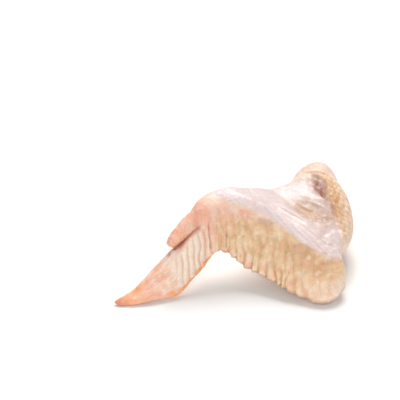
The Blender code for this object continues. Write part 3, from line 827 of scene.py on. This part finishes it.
def bead_relief(skin, shape):
    """Beads of coarse skin on the strip, the shoulder's cap, the arm and the elbow."""
    bead = beads(skin["at"], skin["across"], BEAD_PITCH, BEAD_SEED) - BEAD_MEAN
    arm = (zone(skin, "arm beads") * (1 - web_share(skin))
           * np.where(skin["top"] > 0, zone(skin, "upper arm beads"), 1.0))
    share = (STRIP_BEADS * strip_share(skin) * skin["top"]
             + np.maximum(CAP_BEADS * zone(skin, "cap beads"), ARM_BEADS * arm)
             + ELBOW_BEADS * zone(skin, "elbow beads") * skin["top"])
    return shape.follicle / MILLIMETRE * bead * share


def rim_share(skin):
    """1 inside the skin, less at its very rim."""
    return RIM_SHARE + (1 - RIM_SHARE) * smooth(skin["to_rim"] / RIM_REACH)


def relief(skin, shape):
    """Height of the skin's relief along the outward normal, in millimetres.

    Also returns the shares of its valleys, which get painted shade, and of the crests of its
    ribs, which get a painted highlight.
    """
    at, q = skin["at"], skin["q"]
    side = np.where(skin["top"] > 0, 1.0, UNDER_SHARE)
    height, valley, crest = apron_relief(skin, shape)
    quills, between_quills = quill_relief(skin, shape)
    height = (height + quills) * side + web_relief(skin, shape) + bead_relief(skin, shape)

    wrinkled = lines("wrist lines", at + WRIST_SLANT * q, skin["across"], WRIST_SHARPNESS)
    wrist_lines = zone(skin, "wrist lines") * skin["top"] * wrinkled
    finger_lines = zone(skin, "finger lines") * lines("finger lines", at, skin["across"])
    height = (height - GROOVE_DEPTH * groove_share(skin) + WRIST_HEIGHT * wrist_lines
              + FINGER_HEIGHT * finger_lines * rim_share(skin) - patches(skin, "elbow notch"))
    ragged = zone(skin, "apron") * (1 - smooth(skin["to_rim"] / RAGGED_REACH))
    height = (height + LUMP_HEIGHT * grain("lumps", skin["point"])
              + (FINE_LUMP_HEIGHT + RAGGED_HEIGHT * ragged) * grain("fine lumps", skin["point"]))

    # Painted shade also goes into the valleys between quills, the wrist's lines and the wrist and apron
    # folds.
    for share in (between_quills, WRIST_SHADE * smooth(-wrist_lines / WRIST_VALLEY),
                  crease_share(skin, "wrist fold") * skin["top"],
                  crease_share(skin, "apron fold") * skin["top"]):
        valley = np.maximum(valley, share)
    return height, valley, crest


# Colour areas

# What each colour area is mixed from: the weights of shares that colour_areas works out.
MIXES = {
    # On the hand's leading edge the membrane's lilac white is partly a painted highlight.
    "membrane": {"web": 1, "palm": 0.08, "leading edge": 0.45, "upper cap": 0.35},
    "feather": {"fat apron": 1, "strip": 1, "fat elbow": 0.4},
    # Pale is the skin's own pale tone, and on the ribs' crests a painted highlight.
    "pale": {"palm": 0.44, "finger": 0.6, "stripes": 0.75, "elbow rim": 0.40, "crest": 0.30,
             "specked crest": 0.3},
    "beige": {"specked flesh": 0.3},
    "ochre": {},
    "blush": {"wrist": 0.18, "elbow": 0.04, "cap": 0.18, "blushed finger": 0.52,
              "specked finger": 0.35, "flushes": 0.55, "cloud": 0.12, "specks": 0.10},
    "amber": {"hand rim": 1.4, "tip": 0.7, "specked tip": -0.25, "wrinkles": 0.32},
    "red": {"tip end": 0.55},
    # The deep area is all painted shade: the shoulder hollow, the groove, the creases, the gap under
    # the thumb and the apron's rim.
    "deep": {"hollow": 1.3, "groove": 0.32, "folds": 0.25, "gap": 0.7, "shade under edge": 0.45},
    # The valley area is painted shade between ribs, bumps and quills and in the wrist's lines and
    # folds.
    "valley": {"valley": 1},
}
# The same for the thumb's own skin.
THUMB_MIXES = {
    "membrane": {"even": 0.15, "specks": 0.25},
    "blush": {"even": 0.60, "cloud": 0.25, "specks": 0.2, "root": 0.35},
    "amber": {"even": 0.08, "end": 0.18, "specks": 0.2},
    "red": {"lines": 0.3, "root": 0.12},
}

# The clouds and the specks shift a zone's border across, and the clouds shift the tip's along.
CLOUD_SHIFT, SPECK_SHIFT, TIP_SHIFT = 0.06, 0.10, 4
TIP_START = (198, 12)
# Fat fills the strip by the gain and thins out on its outer and its lower part and at the elbow.
STRIP_GAIN, OUTER_THINS, LOWER_THINS, ELBOW_THINS = 1.4, 0.7, 0.5, 0.15
# Flushes of the apron start over this value of their field and are fewer at the elbow.
FLUSH_START, FLUSH_THINS = 0.05, 0.7
# Blotches of flesh in the band above the ridge, and wrinkles of the finger.
BLOTCH_START, BLOTCHED_RIDGE = 0.35, 0.55
WRINKLE_START = (0.25, 0.3)
# The strip covers the hollow's painted shade; the apron's rim gets painted shade in the deep colour
# for this far; the gap under the thumb gets painted shade in the red colour.
STRIP_COVERS, UNDER_EDGE, GAP_RED = 0.85, 1.4, 0.95
# The thumb's root with its radius, its end, and the lines at its end, which come where the
# cosine of the run, warped by the clouds, is high.
THUMB_ROOT, THUMB_END, THUMB_LINES = (18, 7), (26, 14), (34, 4)
LINE_WARP, LINE_START = 2.5, (0.75, 0.25)
# On the wing the thumb's own colours cover this depth, from a side on and from one run to
# another; on the thumb they set in past its root.
TINT_DEPTH, TINT_SIDE, TINT_START, TINT_END, TINT_FREE = 4, (-0.9, 0.5), (8, 10), (32, -5), (15, 6)


def mix(weights, shares):
    """Sum of the shares, each times its weight."""
    return sum(weight * shares[name] for name, weight in weights.items())


def colour_areas(skin, valley, crest):
    """Share of each colour area at each point, from 0 to 1, with borders warped by noise."""
    point, top = skin["point"], skin["top"]
    plain = ("palm", "leading edge", "fat elbow", "finger", "cap", "wrist", "blushed finger", "tip end")
    cloud, specks = grain("cloud", point), grain("specks", point)
    elbow = zone(skin, "elbow", CLOUD_SHIFT * cloud)
    apron = zone(skin, "fat apron", CLOUD_SHIFT * cloud)
    strip = smooth(STRIP_GAIN * strip_share(skin)) * top
    strip = strip * (1 - OUTER_THINS * zone(skin, "outer strip"))
    tip = rise(skin["at"] - TIP_SHIFT * cloud, TIP_START)
    gap = gap_share(point)
    # Painted shade in the deep colour: the shoulder hollow where the strip doesn't cover it, the
    # groove, the creases, the gap and the apron's rim.
    hollow = patches(skin, "hollow") * top * (1 - STRIP_COVERS * strip)
    folds = sum(crease_share(skin, name) for name, crease in CREASES.items() if crease[-1] > 0)
    flushes = (1 - FLUSH_THINS * elbow) * smooth(grain("flushes", point) - FLUSH_START)
    wrinkles = rise(np.abs(field("finger lines", skin["at"], skin["across"])), WRINKLE_START)
    shares = {name: zone(skin, name) for name in plain}
    shares |= {
        "cloud": cloud, "specks": specks, "valley": valley,
        "crest": crest, "specked crest": specks * crest,
        "web": web_share(skin) * (1 - patches(skin, "fleshy web")),
        "upper cap": shares["cap"] * top,
        "fat apron": apron, "strip": strip, "stripes": quill_share(skin) * (1 - valley),
        "elbow": elbow, "elbow rim": elbow * zone(skin, "elbow rim"),
        "specked flesh": specks * spot(skin, *PATCHES["beige"][0][1:]),
        "specked finger": specks * shares["blushed finger"], "flushes": apron * flushes,
        "hand rim": zone(skin, "hand rim", SPECK_SHIFT * specks),
        "tip": tip, "specked tip": specks * tip,
        "wrinkles": zone(skin, "wrinkles") * wrinkles,
        "hollow": hollow, "groove": groove_share(skin) * (1 - hollow), "gap": gap**2,
        "folds": folds * top, "shade under edge": apron * smooth(1 - skin["to_rim"] / UNDER_EDGE),
    }
    areas = {area: np.clip(mix(weights, shares) + patches(skin, area), 0, 1)
             for area, weights in MIXES.items()}
    areas["feather"] *= 1 - ELBOW_THINS * elbow
    areas["feather"] *= 1 - LOWER_THINS * strip * zone(skin, "lower strip")
    areas["ochre"] *= top
    blotches = smooth(BLOTCH_START + grain("blotches", point))
    areas["beige"] = areas["beige"] * top + BLOTCHED_RIDGE * zone(skin, "ridge band") * blotches
    # The gap under the thumb also gets painted shade in the red colour.
    areas["red"] = np.maximum(areas["red"], GAP_RED * gap)

    distance, run, side = thumb_distance(point)
    own = thumb_tint(point, run)
    covered = (rise(run, TINT_START) * rise(run, TINT_END) * rise(side, TINT_SIDE)
               * smooth(1 - distance / TINT_DEPTH))
    return {name: np.clip(share * (1 - covered) + own.get(name, 0) * covered, 0, 1)
            for name, share in areas.items()}


def thumb_tint(point, run):
    """Colour areas of the thumb's own skin: blushed, amber toward its end, red in its lines."""
    cloud, specks = grain("thumb cloud", point), grain("thumb specks", point)
    rings = np.abs(np.cos(run + LINE_WARP * cloud))
    shares = {
        "even": 1, "cloud": cloud, "specks": specks, "end": rise(run, THUMB_END),
        "root": np.exp(-((run - THUMB_ROOT[0]) / THUMB_ROOT[1])**2),
        "lines": rise(run, THUMB_LINES) * rise(rings, LINE_START),
    }
    return {area: mix(weights, shares) for area, weights in THUMB_MIXES.items()}


def thumb_areas(skin, wing, near):
    """Colour areas of the thumb: the wing's at its root, its own farther out.

    wing is the wing's mesh and near the index of its vertex nearest to each point.
    """
    own = thumb_tint(skin["point"], skin["run"])
    free = rise(skin["run"], TINT_FREE)
    areas = {}
    for name in MIXES:
        values = np.empty(len(wing.vertices))
        wing.attributes[name].data.foreach_get("value", values)
        areas[name] = np.clip(own.get(name, 0) * free + values[near] * (1 - free), 0, 1)
    return areas


# Mesh


def ring_faces(count, around):
    """Quads of a closed tube and the triangles of the fans at its two poles."""
    i, j = np.meshgrid(np.arange(count - 1), np.arange(around), indexing="ij")
    after = (j + 1) % around
    quads = np.stack([i * around + j, (i + 1) * around + j, (i + 1) * around + after,
                      i * around + after], axis=-1).reshape(-1, 4)
    turn = np.arange(around)
    turn_next = (turn + 1) % around
    last = (count - 1) * around
    first_fan = np.stack([turn, turn_next, np.full(around, count * around)], axis=-1)
    last_fan = np.stack([last + turn_next, last + turn, np.full(around, count * around + 1)], axis=-1)
    return quads, np.vstack([first_fan, last_fan])


def skin_piece(name, rings, poles, areas, flat, material):
    """Object of a closed tube of rings in the frame's metres, smooth, with its attributes.

    flat holds two coordinates of each point on the unrolled skin, in millimetres: they become
    the UV map, in metres. The ground presses on what would reach below it.
    """
    count, around = rings.shape[:2]
    points = (np.vstack([rings.reshape(-1, 3), poles]) - ORIGIN) * MILLIMETRE
    points[:, 2] = np.maximum(points[:, 2], 0)
    quads, fans = ring_faces(count, around)
    mesh = bpy.data.meshes.new(name)
    mesh.from_pydata(points.tolist(), [], quads.tolist() + fans.tolist())
    mesh.polygons.foreach_set("use_smooth", np.ones(len(mesh.polygons), bool))
    for area, share in areas.items():
        values = np.r_[share.ravel(), share[0].mean(), share[-1].mean()]
        mesh.attributes.new(area, "FLOAT", "POINT").data.foreach_set("value", values)

    u, v = (np.hstack([part, part[:, :1] + step]) for part, step in flat)
    wide = around + 1
    i, j = np.meshgrid(np.arange(count - 1), np.arange(around), indexing="ij")
    start, end = i * wide + j, (i + 1) * wide + j
    corner = np.stack([start, end, end + 1, start + 1], axis=-1).ravel()
    quad_uv = np.stack([u.ravel()[corner], v.ravel()[corner]], axis=-1)
    fan_uv = np.repeat([[u[0].mean(), 0], [u[-1].mean(), 0]], 3 * around, axis=0)
    uv = np.vstack([quad_uv, fan_uv]) * MILLIMETRE
    mesh.uv_layers.new(name="unrolled").data.foreach_set("uv", uv.ravel())
    mesh.materials.append(material)
    mesh.update()
    piece = bpy.data.objects.new(name, mesh)
    bpy.context.scene.collection.objects.link(piece)
    return piece


# Materials


# Sockets of a Mix node of colours.
FACTOR, UNDER, OVER, MIXED = 0, 6, 7, 2


def add_node(tree, kind, settings):
    """One node; a setting is a property's value, an input's value or the socket that feeds it."""
    node = tree.nodes.new(kind)
    for name, value in settings.items():
        if isinstance(name, str) and hasattr(node, name):
            setattr(node, name, value)
        elif isinstance(value, bpy.types.NodeSocket):
            tree.links.new(value, node.inputs[name])
        else:
            node.inputs[name].default_value = value
    return node


def raw_skin(colours):
    """Raw poultry skin, scalded and plucked: thin, moist and see-through over fat and flesh.

    Fat under it gives the cream, bare membrane the lilac white, and blood the blush. It
    scatters light a few millimetres deep and has a thin wet film. Shade is painted into the
    colour in valleys, creases, the shoulder hollow, the gap under the thumb and by the apron's
    rim, and a highlight on the ribs' crests and in part on the hand's leading edge.
    """
    material = bpy.data.materials.new("raw poultry skin")
    material.use_nodes = True
    tree = material.node_tree
    tree.nodes.clear()
    areas = {name: add_node(tree, "ShaderNodeAttribute", {"attribute_name": name}).outputs["Fac"]
             for name in MIXES}

    # Fat lies unevenly under the skin, in clouds of about 5 mm and in smaller mottles. Wrinkles
    # run along the limb on the unrolled skin, and the pores are 1.8 mm apart.
    solid = add_node(tree, "ShaderNodeTexCoord", {}).outputs["Object"]
    unrolled = add_node(tree, "ShaderNodeUVMap", {"uv_map": "unrolled"}).outputs["UV"]
    tall, drawn = (
        add_node(tree, "ShaderNodeMapping", {"Scale": stretch, "Vector": source}).outputs["Vector"]
        for source, stretch in ((solid, (1.0, 1.0, 0.7)), (unrolled, (0.16, 1.0, 1.0))))
    clouds, mottles, fine, wrinkles = (
        add_node(tree, "ShaderNodeTexNoise",
                 {"Scale": 1 / pitch, "Detail": detail, "Roughness": 0.55,
                  "Vector": source}).outputs["Fac"]
        for pitch, detail, source in ((0.005, 3.0, solid), (0.0042, 2.0, tall), (0.0012, 2.0, solid),
                                      (0.0016, 3.0, drawn)))
    cells = add_node(tree, "ShaderNodeTexVoronoi",
                     {"Scale": 1 / 0.0018, "Randomness": 0.9, "Vector": solid}).outputs["Distance"]
    spots, gleams = (
        add_node(tree, "ShaderNodeMapRange",
                 {"From Min": first, "From Max": last, "To Max": share,
                  "Value": mottles}).outputs["Result"]
        for first, last, share in ((0.54, 0.72, 0.40), (0.45, 0.28, 0.45)))
    yolk = add_node(tree, "ShaderNodeMapRange",
                    {"From Min": 0.36, "From Max": 0.66, "Value": clouds}).outputs["Result"]

    # The membrane shade, where the wrinkle noise is low, is painted shade in the web's wrinkles.
    skin, fat, lilac, speckle = (
        add_node(tree, "ShaderNodeMix",
                 {"data_type": "RGBA", FACTOR: share, UNDER: first, OVER: second}).outputs[MIXED]
        for share, first, second in ((clouds, colours.skin, colours.skin_pale),
                                     (yolk, colours.fat, colours.fat_pale),
                                     (wrinkles, colours.membrane_shade, colours.membrane),
                                     (fine, (0.85, 0.82, 0.80, 1.0), (1.10, 1.10, 1.10, 1.0))))
    # The valley depth is the share of the painted shade in valleys.
    steps = (("valley depth", "MULTIPLY", areas["valley"], 0.68),
             ("bare", "MULTIPLY", areas["membrane"], 0.65), ("flesh", "SUBTRACT", 1.0, "bare"),
             ("blood", "MULTIPLY", spots, "flesh"),
             ("dull", "ADD", areas["deep"], areas["beige"]),
             ("film", "SUBTRACT", areas["membrane"], "dull"),
             ("pore", "MINIMUM", cells, 0.5), ("pores", "MULTIPLY", "pore", 0.5),
             ("grit", "MULTIPLY", fine, 0.5), ("lines", "MULTIPLY", wrinkles, 0.6),
             ("texture", "ADD", "pores", "grit"), ("height", "ADD", "lines", "texture"))
    worked = {}
    for name, operation, *values in steps:
        first, second = (worked[value] if isinstance(value, str) else value for value in values)
        worked[name] = add_node(tree, "ShaderNodeMath",
                                {"operation": operation, 0: first, 1: second}).outputs["Value"]

    # Each layer lies over the ones before it. The valley and deep layers and the red in the gap
    # under the thumb are painted shade; the pale on the ribs' crests is a painted highlight.
    colour = skin
    for share, over, blend in (
            (areas["feather"], fat, "MIX"), (areas["membrane"], lilac, "MIX"),
            (areas["pale"], colours.pale, "MIX"), (areas["beige"], colours.beige, "MIX"),
            (areas["ochre"], colours.ochre, "MIX"), (areas["blush"], colours.blush, "MIX"),
            (areas["amber"], colours.amber, "MIX"), (areas["red"], colours.red, "MIX"),
            (worked["valley depth"], colours.valley, "MIX"), (areas["deep"], colours.deep, "MIX"),
            (worked["blood"], colours.blush, "MIX"), (gleams, colours.pale, "MIX"),
            (1.0, speckle, "MULTIPLY")):
        colour = add_node(tree, "ShaderNodeMix",
                          {"data_type": "RGBA", "blend_type": blend, FACTOR: share,
                           UNDER: colour, OVER: over}).outputs[MIXED]

    # The wet film is smoothest on the bare membrane.
    rough = add_node(tree, "ShaderNodeMapRange",
                     {"To Min": 0.46, "To Max": 0.36, "Value": worked["film"]})
    bump = add_node(tree, "ShaderNodeBump",
                    {"Strength": 0.45, "Distance": 0.0006, "Height": worked["height"]})
    shader = add_node(
        tree, "ShaderNodeBsdfPrincipled",
        {"IOR": 1.40, "Subsurface Weight": 0.25, "Subsurface Radius": (1.0, 0.45, 0.30),
         "Subsurface Scale": 0.0025, "Coat Weight": 0.10, "Coat Roughness": 0.22,
         "Base Color": colour, "Roughness": rough.outputs["Result"], "Normal": bump.outputs["Normal"]})
    add_node(tree, "ShaderNodeOutputMaterial", {"Surface": shader.outputs["BSDF"]})
    return material


def matt_paper(colour):
    """Matt white photo paper for the floor."""
    material = bpy.data.materials.new("matt paper")
    material.use_nodes = True
    shader = material.node_tree.nodes["Principled BSDF"]
    shader.inputs["Base Color"].default_value = colour
    shader.inputs["Roughness"].default_value = 0.9
    shader.inputs["Specular IOR Level"].default_value = 0.1
    return material


# Settings


def size(name, description, value):
    """A length that the user can change, given in millimetres."""
    return FloatProperty(name=name, description=description, default=value * MILLIMETRE,
                         unit="LENGTH", subtype="DISTANCE", precision=5)


def tint(name, description, code):
    """A colour that the user can change, given as a hex code."""
    return FloatVectorProperty(name=name, description=description, default=linear(code), size=4,
                               subtype="COLOR", min=0, max=1)


class WingShape(bpy.types.PropertyGroup):
    """Heights and pitches of the skin's relief."""
    apron_pitch: size("Apron rib pitch", "Distance between the ribs along the forearm's edge", 4.9)
    apron_ridge: size("Apron rib height", "Height of the ribs of the forearm's trailing skin", 1.4)
    quill_pitch: size("Quill pitch", "Distance between the quill ridges of the hand", 3.8)
    quill_ridge: size("Quill height", "Height of the quill ridges of the hand", 0.8)
    web_fold: size("Web fold height", "Height of the long folds of the web", 0.72)
    follicle: size("Follicle height", "Height of the beads of coarse skin", 0.7)


class WingColours(bpy.types.PropertyGroup):
    """Colours of the skin's areas."""
    skin: tint("Skin", "Plain skin", "#EFCDB4")
    skin_pale: tint("Pale skin", "Plain skin where fat is thick", "#F6DFCC")
    fat: tint("Fat", "Skin over yellow fat", "#E4BF8F")
    fat_pale: tint("Pale fat", "Paler clouds in it", "#F4DBB6")
    # Membrane is bare thin skin, and on the hand's leading edge partly a painted highlight.
    membrane: tint("Membrane", "Bare thin skin of the web", "#F3E6E3")
    # Membrane shade is painted shade in the low parts of the web's wrinkles.
    membrane_shade: tint("Membrane shade", "Its darker wrinkles", "#DCCACA")
    # Beige is flesh seen through the web and in blotches above the ridge, and painted shade below the
    # muscle lump and beside the shoulder knob.
    beige: tint("Web patch", "Flesh that shows through the web", "#C2A088")
    ochre: tint("Ochre", "Deep yellow fat by the ridge", "#CF9F70")
    blush: tint("Blush", "Skin over blood vessels", "#F5B8A0")
    amber: tint("Amber", "Rim of the hand and the tip", "#FFAC74")
    # Red is bruised skin by the thumb and at the tip, and painted shade in the gap under the thumb.
    red: tint("Red", "Bruised skin by the thumb and at the tip", "#D07A5A")
    # Pale is the skin's own pale spots, and on the ribs' crests a painted highlight.
    pale: tint("Pale spots", "Pale spots and ridges of the skin", "#FDEBDA")
    # Valley is painted shade between ribs, bumps and quills and in the wrist's lines and folds.
    valley: tint("Valley", "Between ribs and in folds", "#CF9A72")
    # Deep is painted shade in the shoulder hollow, the groove, the creases, the gap under the thumb and
    # by the apron's rim.
    deep: tint("Deep", "Bottom of the shoulder hollow and folds", "#A26C5A")


class WingStage(bpy.types.PropertyGroup):
    """Floor and light."""
    floor: tint("Floor", "Colour of the floor", "#F6F5F4")
    sky: FloatProperty(name="Surrounding light", description="Strength of the even light", default=0.47)
    key: FloatProperty(name="Key light", description="Power of the large overhead light",
                       default=11.9, unit="POWER")
    front: FloatProperty(name="Front light", description="Power of the weak front light",
                         default=6.6, unit="POWER")


# Operators


class WING_OT_skin(bpy.types.Operator):
    """Build the wing's skin from shoulder to tip."""
    bl_idname = "wing.skin"
    bl_label = "Wing skin"

    def execute(self, context):
        skin, first, last = wing_skin()
        height, valley, crest = relief(skin, context.scene.wing_shape)
        areas = colour_areas(skin, valley, crest)
        normals = outward(skin["point"])
        height = height + cover(skin["point"], normals) - GAP_DEPTH * gap_share(skin["point"])
        rings = skin["point"] + normals * height[..., None]
        around = np.cumsum(np.linalg.norm(np.diff(rings, axis=1), axis=2), axis=1)
        around = np.hstack([np.zeros((len(rings), 1)), around])
        material = raw_skin(context.scene.wing_colours)
        unrolled = ((skin["at"], 0), (around, SEAM_STEP))
        piece = skin_piece("wing_skin", rings, [first, last], areas, unrolled, material)
        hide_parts("wing")
        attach(piece, "root")
        return {"FINISHED"}


class WING_OT_thumb(bpy.types.Operator):
    """Build the thumb that grows from the wrist."""
    bl_idname = "wing.thumb"
    bl_label = "Thumb"

    def execute(self, context):
        skin, first, last = thumb_skin()
        height = (THUMB_LUMPS * grain("thumb lumps", skin["point"])
                  + THUMB_FINE_LUMPS * grain("thumb fine lumps", skin["point"]))
        wing = wing_skin()[0]["point"]
        offset = np.abs(wing - THUMB_LINE[1]).max(axis=-1).ravel()
        close = np.flatnonzero(offset < BASE_REACH)[::BASE_STEP]
        base, normals = wing.reshape(-1, 3)[close], outward(wing).reshape(-1, 3)[close]
        near = nearest_rows(skin["point"], base)
        over = np.sum((skin["point"] - base[near]) * normals[near], axis=-1)
        height = height + melt(over, skin["run"])
        rings = skin["point"] + outward(skin["point"]) * height[..., None]
        mesh = bpy.data.objects["wing_skin"].data
        areas = thumb_areas(skin, mesh, close[near])
        unrolled = ((skin["run"], 0), (skin["turn"] * THUMB_RADIUS, 2 * np.pi * THUMB_RADIUS))
        piece = skin_piece("wing_thumb", rings, [first, last], areas, unrolled, mesh.materials[0])
        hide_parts("wing")
        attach(piece, "root")
        return {"FINISHED"}


class WING_OT_stage(bpy.types.Operator):
    """Build the floor, the lights and the camera."""
    bl_idname = "wing.stage"
    bl_label = "Floor, light and camera"

    def execute(self, context):
        settings = context.scene.wing_stage
        scene = context.scene
        mesh = bpy.data.meshes.new("floor")
        corners = [(x * FLOOR_HALF, y * FLOOR_HALF, 0) for x, y in ((-1, -1), (1, -1), (1, 1), (-1, 1))]
        mesh.from_pydata(corners, [], [(0, 1, 2, 3)])
        mesh.materials.append(matt_paper(settings.floor))
        floor = bpy.data.objects.new("floor", mesh)
        scene.collection.objects.link(floor)

        world = bpy.data.worlds.new("studio")
        world.use_nodes = True
        background = world.node_tree.nodes["Background"]
        background.inputs["Color"].default_value = (1, 1, 1, 1)
        background.inputs["Strength"].default_value = settings.sky
        scene.world = world

        for (name, (stand, width)), power in zip(LAMPS.items(), (settings.key, settings.front)):
            light = bpy.data.lights.new(name, "AREA")
            light.energy = power
            light.size = width
            lamp = bpy.data.objects.new(name, light)
            lamp.location = stand
            lamp.rotation_euler = facing(stand, LAMP_TARGET)
            scene.collection.objects.link(lamp)

        camera = bpy.data.cameras.new("camera")
        camera.sensor_width = SENSOR_WIDTH
        camera.lens = SENSOR_WIDTH * CAMERA_DISTANCE / VIEW_WIDTH
        camera.clip_end = CLIP_END
        viewer = bpy.data.objects.new("camera", camera)
        angle = np.radians(CAMERA_ELEVATION)
        target = np.array(CAMERA_TARGET) * MILLIMETRE
        viewer.location = target + CAMERA_DISTANCE * np.array([0, -np.cos(angle), np.sin(angle)])
        viewer.rotation_euler = (np.pi / 2 - angle, 0, 0)
        scene.collection.objects.link(viewer)
        scene.camera = viewer
        scene.view_settings.view_transform = "Standard"
        return {"FINISHED"}


def facing(source, target):
    """Euler angles that turn a light's -Z from its place toward a target."""
    x, y, z = np.array(target) - np.array(source)
    return (np.arctan2(np.hypot(x, y), -z), 0, np.arctan2(y, x) - np.pi / 2)


class WING_PT_panel(bpy.types.Panel):
    """Lists the wing's pieces and settings."""
    bl_label = "Raw chicken wing"
    bl_idname = "WING_PT_panel"
    bl_space_type = "VIEW_3D"
    bl_region_type = "UI"
    bl_category = "Wing"

    def draw(self, context):
        for operator in ("wing.skin", "wing.thumb", "wing.stage"):
            self.layout.operator(operator)
        scene = context.scene
        for group in (scene.wing_shape, scene.wing_colours, scene.wing_stage):
            for name in group.bl_rna.properties.keys():
                if name not in ("rna_type", "name"):
                    self.layout.prop(group, name)


CLASSES = (WingShape, WingColours, WingStage, WING_OT_skin, WING_OT_thumb, WING_OT_stage, WING_PT_panel)


def register():
    """Add the classes, and the settings to the scene."""
    for cls in CLASSES:
        bpy.utils.register_class(cls)
    bpy.types.Scene.wing_shape = PointerProperty(type=WingShape)
    bpy.types.Scene.wing_colours = PointerProperty(type=WingColours)
    bpy.types.Scene.wing_stage = PointerProperty(type=WingStage)


def unregister():
    """Take the settings and the classes away again."""
    del bpy.types.Scene.wing_shape, bpy.types.Scene.wing_colours, bpy.types.Scene.wing_stage
    for cls in reversed(CLASSES):
        bpy.utils.unregister_class(cls)


def main():
    """Build the pieces and the stage."""
    register()
    bpy.ops.wing.skin()
    bpy.ops.wing.thumb()
    bpy.ops.wing.stage()


if __name__ == "__main__":
    main()
